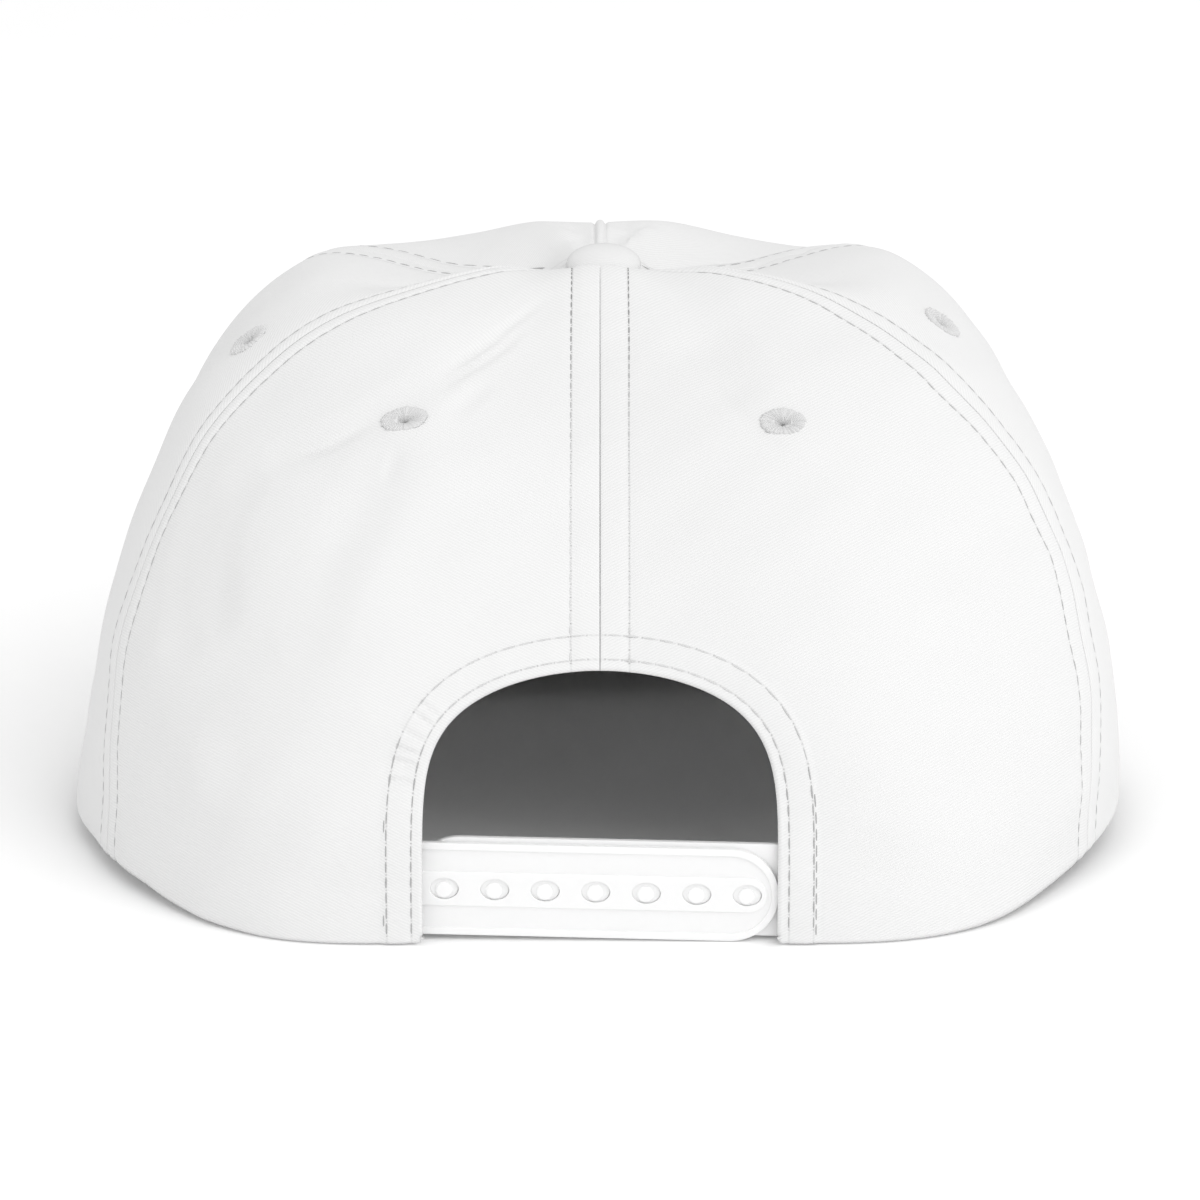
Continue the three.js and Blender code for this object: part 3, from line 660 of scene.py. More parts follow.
def twillWeaveGroup():
    # Ribs of twill along X, crossed by the yarns, with some unevenness. The vector is in metres of cloth.
    group, given, result = newGroup(
        "twillWeave", [("Cloth", "NodeSocketVector", None), ("Pitch", "NodeSocketFloat", 0.0005)],
        [("Height", "NodeSocketFloat"), ("Uneven", "NodeSocketFloat")],
    )
    cloth, pitch = given.outputs["Cloth"], given.outputs["Pitch"]
    parts = partsOf(group, cloth)
    shift = productOf(group, noiseOf(group, cloth, 500.0), 2.0)
    ribTurn = productOf(group, mathNode(group, "DIVIDE", parts["Y"], pitch), 2 * math.pi)
    rib = mathNode(group, "SINE", sumOf(group, ribTurn, shift))
    yarnTurn = productOf(group, mathNode(group, "DIVIDE", parts["X"], pitch), 1.3 * math.pi)
    yarn = mathNode(group, "SINE", sumOf(group, yarnTurn, ribTurn))
    woven = sumOf(group, productOf(group, rib, 0.46), productOf(group, yarn, 0.04), 0.5)
    group.links.new(woven, result.inputs["Height"])
    group.links.new(noiseOf(group, cloth, 90.0, 4.0), result.inputs["Uneven"])
    return group


def stitchGrooveGroup():
    # A narrow groove along a stitch line, deeper at each needle hole. Away and Line are in millimetres.
    inputs = {"Away": 0.0, "Line": 5.2, "Along": 0.0, "Pitch": 2.45, "Width": 0.2}
    group, given, result = newGroup(
        "stitchGroove", [(name, "NodeSocketFloat", value) for name, value in inputs.items()],
        [(name, "NodeSocketFloat") for name in ("Groove", "Hole", "Dash")],
    )
    width = given.outputs["Width"]
    away = mathNode(group, "SUBTRACT", given.outputs["Away"], given.outputs["Line"])
    share = mathNode(group, "DIVIDE", away, width)
    squared = productOf(group, share, share)

    def falling(value, amount):
        return mathNode(group, "POWER", math.e, productOf(group, value, -amount))

    groove = falling(squared, 1.0)
    halfPitch = productOf(group, given.outputs["Pitch"], 0.5)
    alongHole = mathNode(group, "PINGPONG", given.outputs["Along"], halfPitch)
    fromHole = mathNode(group, "DIVIDE", alongHole, width)
    hole = falling(sumOf(group, squared, productOf(group, fromHole, fromHole)), 1.4)
    clear = mathNode(group, "POWER", productOf(group, fromHole, 0.5), 4.0)
    # Dash marks the groove between the needle holes, where painted shade goes
    dash = productOf(group, groove, mathNode(group, "SUBTRACT", 1.0, falling(clear, 1.0)))
    for name, value in (("Groove", groove), ("Hole", hole), ("Dash", dash)):
        group.links.new(value, result.inputs[name])
    return group


twillWeave = twillWeaveGroup()
stitchGroove = stitchGrooveGroup()
# The hole colour is painted shade in the needle holes; the shade colour is painted shade in the grooves
# beside the thread and on grazing edges
clothLook = {
    "light": (0.845, 0.845, 0.843, 1), "dark": gray(0.77), "hole": gray(0.35), "paintedShadeGray": gray(0.3),
    "roughness": 0.93, "sheen": 0.12, "sheenRoughness": 0.5, "pitch": 0.0005, "weaveDepth": 0.000034,
    "fuzzDepth": 0.000008, "fuzzScale": 2600.0, "uneven": 0.25,
    "grooveDepth": 0.00006, "grooveWidth": 0.17, "holeDepth": 0.00008,
}


def newMaterial(name, roughness, sheen=(0, 0.5)):
    material = bpy.data.materials.new(name)
    material.use_nodes = True
    tree = material.node_tree
    shader = tree.nodes["Principled BSDF"]
    shader.inputs["Roughness"].default_value = roughness
    shader.inputs["Sheen Weight"].default_value, shader.inputs["Sheen Roughness"].default_value = sheen
    return material, tree, shader


def mixColors(tree, share, first, second):
    return addNode(tree, "ShaderNodeMix", {0: share, 6: first, 7: second}, data_type="RGBA").outputs[2]


def connect(tree, shader, color, height=None):
    tree.links.new(color, shader.inputs["Base Color"])
    if height:
        bump = addNode(tree, "ShaderNodeBump", {"Height": height, "Strength": 1.0, "Distance": 1.0})
        tree.links.new(bump.outputs[0], shader.inputs["Normal"])


def uvMapOf(tree, name):
    return addNode(tree, "ShaderNodeUVMap", uv_map=name).outputs[0]


def clothMaterial(name, lines=(), edgeShade=0.0):
    # Twill with needle grooves. A line is (map and axis of the distance, distance, map and axis along it,
    # pitch, painted shade in the groove between the needle holes, painted shade in the holes).
    look = clothLook
    material, tree, shader = newMaterial(name, look["roughness"], (look["sheen"], look["sheenRoughness"]))
    cloth = uvMapOf(tree, "cloth")
    weave = addNode(
        tree, "ShaderNodeGroup", {"Cloth": cloth, "Pitch": look["pitch"]}, node_tree=twillWeave).outputs
    fuzz = productOf(tree, noiseOf(tree, cloth, look["fuzzScale"], 3.0), look["fuzzDepth"])
    height = sumOf(tree, productOf(tree, weave["Height"], look["weaveDepth"]), fuzz)
    uneven = productOf(tree, weave["Uneven"], look["uneven"])
    shade = sumOf(tree, productOf(tree, weave["Height"], 1 - look["uneven"]), uneven)
    color = mixColors(tree, shade, look["dark"], look["light"])
    for awayMap, awayAxis, line, alongMap, alongAxis, pitch, dashShade, holeShade in lines:
        groove = addNode(tree, "ShaderNodeGroup", {
            "Away": partsOf(tree, uvMapOf(tree, awayMap))[awayAxis], "Line": line, "Pitch": pitch,
            "Along": partsOf(tree, uvMapOf(tree, alongMap))[alongAxis], "Width": look["grooveWidth"],
        }, node_tree=stitchGroove).outputs
        height = sumOf(
            tree, height, productOf(tree, groove["Groove"], -look["grooveDepth"]),
            productOf(tree, groove["Hole"], -look["holeDepth"]))
        # Painted shade in the groove between the needle holes and in the holes themselves
        color = mixColors(tree, productOf(tree, groove["Dash"], dashShade), color, look["paintedShadeGray"])
        color = mixColors(tree, productOf(tree, groove["Hole"], holeShade), color, look["hole"])
    # Painted shade on grazing edges: the cloth darkens where it turns away from the view, giving a dark
    # outline
    if edgeShade:
        facing = addNode(tree, "ShaderNodeLayerWeight", {"Blend": 0.5}).outputs["Facing"]
        turned = productOf(tree, mathNode(tree, "POWER", facing, 7.0), edgeShade)
        color = mixColors(tree, turned, color, look["paintedShadeGray"])
    connect(tree, shader, color, height)
    return material


# Painted shade in the stitch grooves and needle holes, strongest in the holes of the centre back seam
rearStitches, sideStitches, frontStitches = [
    ("seams", axis, seam["stitchLine"], "rows", "X", seam[pitch], dashShade, holeShade)
    for axis, pitch, dashShade, holeShade in (
        ("X", "pitch", 0.1, 0.75), ("Y", "sidePitch", 0.25, 0.0), ("X", "sidePitch", 0.25, 0.0))
]
hemStitches = [("hem", "X", line, "hem", "Y", arch["pitch"], 0.12, 0.5) for line in arch["stitchLines"]]
crownTwill = clothMaterial("crownTwill", [frontStitches, sideStitches])
rearTwill = clothMaterial("rearTwill", [rearStitches, sideStitches] + hemStitches)
print("materials ready")


# Eyelets
eyelets = table("name panel turn up size lean", [
    ("eyelet_rear_right", 0, 0.494, 0.639, (1.06, 0.76), -28),
    ("eyelet_rear_left", 4, 5.47, 0.636, (1.08, 0.72), 40),
    ("eyelet_side_right", 1, 1.292, 0.633, (0.7, 1), 0),
    ("eyelet_side_left", 3, 4.804, 0.62, (0.7, 1), 0),
])
eyelet = {
    "holeRadius": 1.6, "threads": 34, "ridge": 0.2, "uneven": 0.07, "stepsPerThread": 8,
    "section": [
        (3.86, -0.2), (3.84, 0.1), (3.68, 0.28), (3.3, 0.36), (2.8, 0.32), (2.3, 0.2), (1.8, 0.03),
        (1.3, -0.22), (0.8, -0.55), (0.36, -1.0), (0.28, -1.9), (1.3, -2.2), (2.4, -2.15), (2.7, -1.85),
        (2.3, -1.6), (1.5, -1.5), (1.5, -0.4), (3.5, -0.35),
    ],
}


# Crown
def buildPanel(panel):
    isRear = panel["name"].startswith("rear")

    def place(across, upward):
        chosen = rearPanelPlaces if isRear else panelPlaces
        turn, up = chosen(panel, across, upward)
        points = clothPoints(panel, turn, up)
        smooth = smoothPoints(turn, up)
        width, height = clothCoordinates(turn, up, (panel["from"] + panel["to"]) / 2)
        fromStart, fromEnd = [
            distanceToLine(smooth, seamLines[side])[0] / stitchSpread(side, up)
            for side in (panel["from"], panel["to"])
        ]
        maps = {
            "cloth": twillCoordinates(panel, smooth, width, height) * mm,
            "seams": np.stack([fromEnd, fromStart] if panel["from"] > 3 else [fromStart, fromEnd], axis=1),
            "rows": np.stack([height, width], axis=1),
        }
        if isRear:
            maps["hem"] = np.stack(distanceToLine(smooth, archLine), axis=1)
        return toFrame(points), maps, smoothNormals(turn, up)

    holes = []
    for row in eyelets:
        if panels[row["panel"]] is panel:
            centre = toFrame(clothPoints(panel, np.array([row["turn"]]), np.array([row["up"]])))[0]
            holes.append((centre, eyelet["holeRadius"] * mm))
    piece = gridObject(panel["name"] + "_cloth", panel["columns"], panel["rows"], place, holes)
    addWall(piece, crown["wall"] * mm)
    finishPiece(piece, rearTwill if isRear else crownTwill, panel["name"])


for panel in panels:
    buildPanel(panel)
print("crown panels ready")

# Thread. Shades are the painted shade on the stitches, as if sunk in their grooves, low on the crown and near
# the button.
stitches = {
    "radius": 0.13, "sink": 0.2, "gap": 0.1, "lengthSteps": 8, "aroundSteps": 8, "floorRoom": 0.8,
    "rearShades": (0.1, 0.8), "sideShades": (0.5, 0.5), "frontShades": (0.5, 0.5), "archShades": (0.6, 0.15),
    "shadeHeights": (85, 125), "sidesFrom": 17, "othersFrom": 6, "aboveArch": 0.8,
}
threadLook = {
    # between is the painted shade in the gaps between plies and threads
    "roughness": 0.6, "sheen": (0.15, 0.5), "grainScale": 3000.0, "between": gray(0.25), "twist": 3.0,
}


def threadMaterial(name, light, dark, plyDepth, plyShade, grooveShadeGray=None):
    material, tree, shader = newMaterial(name, threadLook["roughness"], threadLook["sheen"])
    parts = partsOf(tree, uvMapOf(tree, "thread"))
    turned = sumOf(tree, productOf(tree, parts["X"], threadLook["twist"]), parts["Y"])
    ply = mathNode(tree, "SINE", productOf(tree, turned, 4 * math.pi))
    place = addNode(tree, "ShaderNodeTexCoord").outputs["Object"]
    color = mixColors(tree, noiseOf(tree, place, threadLook["grainScale"]), gray(dark), gray(light))
    # Painted shade between the plies and threads, strongest on the eyelets' satin stitches
    shade = productOf(tree, sumOf(tree, ply, 1.0), plyShade / 2)
    color = mixColors(tree, shade, color, threadLook["between"])
    # Painted shade of each stitch lying in its groove, by its amount in the shade map
    if grooveShadeGray:
        color = mixColors(tree, partsOf(tree, uvMapOf(tree, "shade"))["X"], color, gray(grooveShadeGray))
    connect(tree, shader, color, productOf(tree, ply, plyDepth))
    return material


seamThread = threadMaterial("seamThread", 0.84, 0.76, 0.00003, 0.05, 0.2)


def stitchTemplate():
    # One stitch along X, from 0 to 1, whose ends dive into the cloth. Width and height are in millimetres.
    bm = bmesh.new()
    bmesh.ops.create_grid(
        bm, x_segments=stitches["lengthSteps"], y_segments=stitches["aroundSteps"], size=0.5, calc_uvs=False)
    drawUv(bm, "thread", lambda spot: (spot.x + 0.5, spot.y + 0.5))
    for vert in bm.verts:
        reach = math.sin(math.pi * vert.co.x)
        angle = 2 * math.pi * vert.co.y
        radius = stitches["radius"] * math.sqrt(max(1 - abs(reach) ** 5, 0))
        height = -stitches["sink"] * abs(reach) ** 3
        vert.co = (reach / 2 + 0.5, radius * math.cos(angle), height + radius * math.sin(angle))
    weld(bm)
    return meshOf(bm, "stitch")


def sewRows(name, rows):
    # Copies the stitch from each start to its end. A row is (starts, ends, normals, shades).
    template = stitchTemplate()
    template.uv_layers.new(name="shade")
    bm = bmesh.new()
    for row in rows:
        for start, end, normal, shade in zip(*row):
            if min(start[2], end[2]) < stitches["floorRoom"]:
                continue
            forward = Vector(end - start)
            side = Vector(normal).cross(forward).normalized()
            outward = forward.cross(side).normalized()
            place = Matrix((forward, side, outward)).transposed().to_4x4()
            place.translation = Vector(start)
            copy = template.copy()
            copy.transform(crownToFrame @ place)
            copy.uv_layers["shade"].data.foreach_set("uv", [shade, 0] * len(copy.loops))
            bm.from_mesh(copy)
            bpy.data.meshes.remove(copy)
    bpy.data.meshes.remove(template)
    mesh = meshOf(bm, name)
    mesh.shade_smooth()
    finishPiece(newObject(name, mesh), seamThread)


def stitchRow(panel, turns, ups, along, pitch, shades, shift=0.0):
    # A row of stitches over a line of places, with needle holes at whole pitches of the distance along it
    first = math.ceil(along[0] / pitch - shift)
    last = math.floor(along[-1] / pitch - shift)
    holes = (np.arange(first, last + 1) + shift) * pitch
    gap = stitches["gap"]

    def pointsAt(distance):
        return clothPoints(panel, np.interp(distance, along, turns), np.interp(distance, along, ups))

    middles = (holes[:-1] + holes[1:]) / 2
    normals = smoothNormals(np.interp(middles, along, turns), np.interp(middles, along, ups))
    return pointsAt(holes[:-1] + gap), pointsAt(holes[1:] - gap), normals, np.interp(middles, along, shades)


def seamRow(panel, side):
    inward = 1 if side == panel["from"] else -1
    ups = np.linspace(0.002, 0.97, 500)
    sides = np.full(len(ups), float(side))
    turns = sides + inward * seam["stitchLine"] * stitchSpread(side, ups) / widthOfTurn(sides, ups)
    middle = (panel["from"] + panel["to"]) / 2
    halfWidth = (panel["to"] - panel["from"]) / 2
    points = smoothPoints(turns, ups)
    keep = np.abs(turns - side) < min(halfWidth, 0.5)
    keep &= fromApex(points) > stitches["sidesFrom" if side in (1, 5) else "othersFrom"]
    if side in (0, 6):
        keep &= points[:, 2] > arch["height"] + stitches["aboveArch"]
    heights = clothCoordinates(turns, ups, middle)[1]
    kind = {0: "rearShades", 6: "rearShades", 1: "sideShades", 5: "sideShades"}.get(side, "frontShades")
    shades = np.interp(heights, stitches["shadeHeights"], stitches[kind])
    pitch = seam["pitch"] if side in (0, 6) else seam["sidePitch"]
    return stitchRow(panel, turns[keep], ups[keep], heights[keep], pitch, shades[keep])


def hemPlaces(line, count=321):
    # Places at an even distance from the edge of the arch, from the right leg to the left leg
    angles = math.pi / 2 * (1 - np.cos(np.linspace(0, math.pi, count)))
    across, height = archOutline(angles)
    slope = np.stack([np.gradient(across), np.gradient(height)], axis=1)
    slope /= np.linalg.norm(slope, axis=1)[:, None]
    outward = np.stack([slope[:, 1], -slope[:, 0]], axis=1)
    edge = smoothPoints(*placeOnBack(across, height))
    reach = np.full(count, float(line))
    for _ in range(4):
        turn, up = placeOnBack(across + outward[:, 0] * reach, height + outward[:, 1] * reach)
        reach *= line / np.linalg.norm(smoothPoints(turn, up) - edge, axis=1)
    along = np.concatenate([[0], np.cumsum(stepLengths(edge))])
    return turn, up, along


def hemRows(line, fromShare=0.0, toShare=1.0, shift=0.0):
    turn, up, along = hemPlaces(line)
    rows = []
    for panel, onPanel in ((panels[0], turn >= 0), (panels[4], turn < 0)):
        keep = onPanel & (along >= fromShare * along[-1]) & (along <= toShare * along[-1])
        if keep.sum() > 5:
            turns = turn[keep] if panel["from"] == 0 else 6 + turn[keep]
            height = np.minimum(along[keep], along[-1] - along[keep])
            shades = np.interp(height, (0.6 * arch["height"], arch["height"]), stitches["archShades"])
            rows.append(stitchRow(panel, turns, up[keep], along[keep], arch["pitch"], shades, shift))
    return rows


# Seam stitches
sewRows("crown_topstitching", [
    seamRow(panel, side) for panel in panels for side in (panel["from"], panel["to"])
])
print("seam stitches ready")

# A second pass over the outer line at the ends of the arch: its distance, from and to, as shares of the line
doubled = [(6.85, 0.0, 0.21), (6.8, 0.82, 0.87), (6.9, 0.95, 1.0)]
archRows = [row for line in arch["stitchLines"] for row in hemRows(line)]
for line, fromShare, toShare in doubled:
    archRows += hemRows(line, fromShare, toShare, 0.5)
sewRows("arch_topstitching", archRows)
print("arch stitches ready")


def spinProfile(bm, profile, steps):
    # Turns a profile of (radius, height) pairs about Z. Points on the axis close its poles.
    verts = [bm.verts.new((radius, 0, height)) for radius, height in profile]
    edges = [bm.edges.new(pair) for pair in zip(verts[:-1], verts[1:])]
    bmesh.ops.spin(
        bm, geom=verts + edges, cent=(0, 0, 0), axis=(0, 0, 1), angle=2 * math.pi, steps=steps,
        use_merge=True)
    weld(bm)


def meshPiece(name, bm, place):
    # A piece from a mesh drawn in millimetres, put in place by a matrix in crown millimetres
    bmesh.ops.transform(bm, matrix=crownToFrame @ place, verts=bm.verts)
    mesh = meshOf(bm, name)
    mesh.shade_smooth()
    return newObject(name, mesh)


# Button
button = {
    "radius": 7.0, "height": 4.6, "edge": 1.1, "tuck": 0.4, "shankRadius": 2.4, "shankLength": 4, "rest": 0.3,
    # edgeShade is the strength of the painted shade on the button's grazing edge
    "sink": 0.9, "aside": 0.7, "domePower": 0.94, "clothSpread": 0.35, "edgeShade": 0.35,
}


def buildButton():
    radius, edge = button["radius"], button["edge"]
    shank, rest, foot = button["shankRadius"], button["rest"], radius - button["tuck"]
    profile = [(0, -button["shankLength"]), (shank, -button["shankLength"]), (shank, rest)]
    profile += [(foot - 0.5, rest), (foot, rest + 0.12)]
    for angle in np.linspace(0, math.pi / 2, 22):
        rise = math.sin(angle) ** button["domePower"]
        profile.append((radius * math.cos(angle), edge + (button["height"] - edge) * rise))
    profile[-1] = (0, button["height"])
    bm = bmesh.new()
    spinProfile(bm, profile, 64)

    def clothPlace(spot):
        spread = 1 + button["clothSpread"] * (1 - spot.z / button["height"])
        return spot.x * spread * mm, spot.y * spread * mm

    drawUv(bm, "cloth", clothPlace)
    place = Matrix.Translation(apex) @ Matrix.Rotation(math.radians(crown["seatRise"]), 4, "X")
    place = place @ Matrix.Translation((button["aside"], 0, -button["sink"]))
    piece = meshPiece("button_cloth", bm, place)
    finishPiece(piece, clothMaterial("buttonTwill", edgeShade=button["edgeShade"]), "button")


buildButton()
print("button ready")

# Eyelets
eyeletThread = threadMaterial("eyeletThread", 0.88, 0.74, 0.000004, 0.45)


def clothFrame(row, reach=0.03):
    # A frame standing on the finished cloth, with Z out of it and Y up the crown
    panel = panels[row["panel"]]
    turn, up = np.array([row["turn"]]), np.array([row["up"]])
    around = clothPoints(panel, turn + reach, up) - clothPoints(panel, turn - reach, up)
    upward = clothPoints(panel, turn, up + reach) - clothPoints(panel, turn, up - reach)
    normal = Vector(np.cross(around, upward)[0]).normalized()
    rise = Vector(upward[0])
    rise = (rise - rise.dot(normal) * normal).normalized()
    place = Matrix((rise.cross(normal), rise, normal)).transposed().to_4x4()
    place.translation = Vector(clothPoints(panel, turn, up)[0])
    return place


def buildEyelet(row, seed):
    # A ring of satin stitches: a closed section carried round, with a ridge for each thread
    section = np.array(eyelet["section"] + eyelet["section"][:1])
    threads = eyelet["threads"]
    bm = bmesh.new()
    bmesh.ops.create_grid(bm, x_segments=threads * eyelet["stepsPerThread"], y_segments=36, size=0.5)
    drawUv(bm, "thread", lambda spot: ((spot.y + 0.5) * 3, (spot.x + 0.5) * threads))
    flat = np.array([vert.co[:2] for vert in bm.verts]) + 0.5
    angle = 2 * math.pi * flat[:, 0]
    place = flat[:, 1] * (len(section) - 1)
    radius, height = [np.interp(place, np.arange(len(section)), section[:, axis]) for axis in (0, 1)]
    onTop = 1 - smoothStep(place, 9, 10)
    threadTurn = angle * threads / 2 + 1.2 * np.sin(3 * angle + seed) + 0.6 * np.sin(11 * angle + 2 * seed)
    ridge = (np.abs(np.sin(threadTurn)) ** 0.7 - 0.6) * smoothStep(radius, 0.2, 0.8)
    longer = np.sin(5 * angle + seed) + np.sin(13 * angle + 3 * seed) + 0.8 * np.sin(29 * angle)
    height += onTop * (eyelet["ridge"] * ridge + eyelet["uneven"] * 0.4 * longer)
    radius += onTop * (eyelet["ridge"] * ridge + eyelet["uneven"] * longer) * smoothStep(radius, 2.6, 3.8)
    for vert, x, y, z in zip(bm.verts, radius * np.cos(angle), radius * np.sin(angle), height):
        vert.co = (x * row["size"][0], y * row["size"][1], z)
    bmesh.ops.rotate(bm, matrix=Matrix.Rotation(math.radians(row["lean"]), 3, "Z"), verts=bm.verts)
    weld(bm)
    piece = meshPiece(row["name"] + "_thread", bm, clothFrame(row))
    finishPiece(piece, eyeletThread, row["name"])


for seed, row in enumerate(eyelets):
    buildEyelet(row, seed)
print("eyelets ready")

# Brim
brim = {
    "thickness": 3.0, "halfWidth": 86.5, "tipY": 235, "cornerY": 117, "squareness": 2.35, "firstTurn": 1.9,
    "tipHeight": 9, "dip": 6.7, "dipPlace": 0.7, "drop": 0.6, "columns": 180, "rows": 110, "edgeShare": 0.09,
    "tipRound": 0.3, "cornerShare": 0.012, "ease": -0.35, "clothWidth": 230, "clothDepth": 280,
    "twillLean": 30,
}


def brimPoints(across, out):
    # The middle of the brim's thickness, and the direction of its edge
    turn = brim["firstTurn"] + (6 - 2 * brim["firstTurn"]) * across
    rim = np.zeros(len(turn))
    inward = smoothNormals(turn, rim)
    inward[:, 2] = 0
    inner = tableCurve(turn, "rim") - unit(inward) * crown["wall"]
    inner[:, 2] -= brim["drop"]
    angle = math.pi * across
    power = 2 / brim["squareness"]
    outer = np.zeros((len(turn), 3))
    outer[:, 0] = brim["halfWidth"] * np.sign(np.cos(angle)) * np.abs(np.cos(angle)) ** power
    outer[:, 1] = brim["cornerY"] + (brim["tipY"] - brim["cornerY"]) * np.abs(np.sin(angle)) ** power
    tipRound = brim["tipRound"]
    cornerReach = math.hypot(1, tipRound)
    fromCorner = (cornerReach - np.hypot(1 - 2 * across, tipRound)) / (cornerReach - tipRound)
    outer[:, 2] = inner[:, 2] + (brim["tipHeight"] - inner[:, 2]) * fromCorner
    outer[:, 2] -= brim["dip"] * np.sin(math.pi * fromCorner ** brim["dipPlace"])
    points = inner + (outer - inner) * out[:, None]
    points[:, 2] -= brim["thickness"] / 2
    return points, np.stack([np.cos(angle), np.sin(angle), 0 * angle], axis=1)


def buildBrim():
    def place(across, section):
        # The section runs out over the top, round the edge and back underneath
        edge = brim["edgeShare"]
        bend = np.clip((section - 0.5) / edge + 0.5, 0, 1) * math.pi
        out = np.where(section < 0.5, section / (0.5 - edge / 2), (1 - section) / (0.5 - edge / 2))
        even = easeEnds(across, brim["ease"])
        points, outward = brimPoints(even, np.clip(out, 0, 1))
        inset = brim["thickness"] / 2 * smoothStep(np.clip(out, 0, 1), 0.5, 1)
        fromSide = np.clip(np.minimum(even, 1 - even) / brim["cornerShare"], 0, 1)
        cornered = np.sqrt(1 - (1 - fromSide) ** 2)
        half = brim["thickness"] / 2 * cornered
        height = half * np.cos(bend)
        points[:, 2] += height
        reach = (np.sin(bend) * half - inset * cornered) * (np.clip(out, 0, 1) > 0.5)
        points += outward * reach[:, None]
        points[:, 2] = np.maximum(points[:, 2], 0)
        lean = math.radians(brim["twillLean"])
        cloth = np.stack([brim["clothWidth"] * even, brim["clothDepth"] * section], axis=1) * mm
        turned = np.array([[math.cos(lean), -math.sin(lean)], [math.sin(lean), math.cos(lean)]])
        facing = np.stack([0 * bend, np.sin(bend), np.cos(bend)], axis=1)
        return toFrame(points), {"cloth": cloth @ turned}, facing

    piece = gridObject("brim_cloth", brim["columns"], brim["rows"], place)
    bm = bmesh.new()
    bm.from_mesh(piece.data)
    bmesh.ops.remove_doubles(bm, verts=bm.verts, dist=1e-6)
    openEdges = [edge for edge in bm.edges if edge.is_boundary]
    bmesh.ops.holes_fill(bm, edges=openEdges, sides=0)
    bmesh.ops.recalc_face_normals(bm, faces=bm.faces)
    bm.to_mesh(piece.data)
    bm.free()
    piece.data.shade_smooth()
    finishPiece(piece, clothMaterial("brimTwill"), "brim")


buildBrim()
print("brim ready")

# Snap strap, drawn flat in X and Y with its outer face up
strap = {
    "height": 17.3, "thickness": 1.15, "hiddenEnd": 44, "tipRight": 31.9, "tipLeft": 33.7, "middleZ": 9.25,
    "tilt": 1, "faceY": 0.6, "turn": 1.2, "border": 1.25, "slope": 0.5, "band": 6.4, "bandShort": 2.1,
    "channelDepth": 0.35, "rounding": 0.14, "gap": 0.06, "innerRise": 0.75, "sharpFrom": 12,
    "light": 0.94, "dark": 0.92, "roughness": 0.42, "grainScale": 900.0, "grainDepth": 0.00001,
    "translucency": 0.35, "translucentDepth": 0.0015,
}
snaps = {
    "count": 7, "pitch": 9, "middleX": -0.75, "length": 5.1, "height": 4.0, "pegRadius": 1.52,
    "offset": -0.12, "drop": 0.27, "footLength": 5.04, "footHeight": 3.94, "footRise": 0.75,
}
snapPlaces = [
    snaps["middleX"] + (index - (snaps["count"] - 1) / 2) * snaps["pitch"] for index in range(snaps["count"])
]


def stripOutline(farEnd, tip, halfHeight, centreX, steps=40):
    # A strip from its far end to a round tip
    side = math.copysign(1, tip)
    outline = [(farEnd, -halfHeight)]
    for angle in np.linspace(-math.pi / 2, math.pi / 2, steps):
        outline.append((centreX + side * halfHeight * math.cos(angle), halfHeight * math.sin(angle)))
    outline.append((farEnd, halfHeight))
    return outline


def ovalOutline(x, halfLength, halfHeight, steps=40):
    angles = np.linspace(0, 2 * math.pi, steps, endpoint=False)
    return [(x + halfLength * math.cos(angle), halfHeight * math.sin(angle)) for angle in angles]


def platePiece(outlines, bottom, top, rounding):
    # A flat plate with holes and rounded edges, from outlines drawn inside one another
    curve = bpy.data.curves.new("plate", "CURVE")
    curve.dimensions = "2D"
    curve.fill_mode = "BOTH"
    curve.extrude = ((top - bottom) / 2 - rounding) * mm
    curve.bevel_depth = rounding * mm
    curve.bevel_resolution = 2
    curve.offset = -rounding * mm
    for outline in outlines:
        spline = curve.splines.new("POLY")
        spline.points.add(len(outline) - 1)
        for point, (x, y) in zip(spline.points, outline):
            point.co = (x * mm, y * mm, 0, 1)
        spline.use_cyclic_u = True
    drawn = newObject("plate", curve)
    mesh = bpy.data.meshes.new_from_object(drawn.evaluated_get(bpy.context.evaluated_depsgraph_get()))
    bpy.data.objects.remove(drawn)
    bm = bmesh.new()
    bm.from_mesh(mesh)
    bmesh.ops.remove_doubles(bm, verts=bm.verts, dist=1e-6)
    bmesh.ops.scale(bm, vec=(1000, 1000, 1000), verts=bm.verts)
    bmesh.ops.translate(bm, vec=(0, 0, (top + bottom) / 2), verts=bm.verts)
    bmesh.ops.recalc_face_normals(bm, faces=bm.faces)
    bm.to_mesh(mesh)
    bm.free()
    return mesh


def combined(first, second, operation):
    # One closed mesh from two, by a boolean union or difference
    objects = [newObject("drawn", mesh) for mesh in (first, second)]
    cut = objects[0].modifiers.new("cut", "BOOLEAN")
    cut.operation = operation
    cut.solver = "EXACT"
    cut.object = objects[1]
    mesh = bpy.data.meshes.new_from_object(objects[0].evaluated_get(bpy.context.evaluated_depsgraph_get()))
    for drawn in (first, second):
        bpy.data.meshes.remove(drawn)
    return mesh


def bmeshOf(mesh):
    bm = bmesh.new()
    bm.from_mesh(mesh)
    bpy.data.meshes.remove(mesh)
    return bm


def strapPlace(back):
    place = Matrix.Translation((-strap["hiddenEnd"], strap["faceY"] + back, strap["middleZ"]))
    place = place @ Matrix.Rotation(-math.radians(strap["turn"]), 4, "Z")
    place = place @ Matrix.Translation((strap["hiddenEnd"], 0, 0))
    return place @ Matrix.Rotation(math.radians(strap["tilt"]), 4, "Y") @ Matrix.Rotation(math.pi / 2, 4, "X")


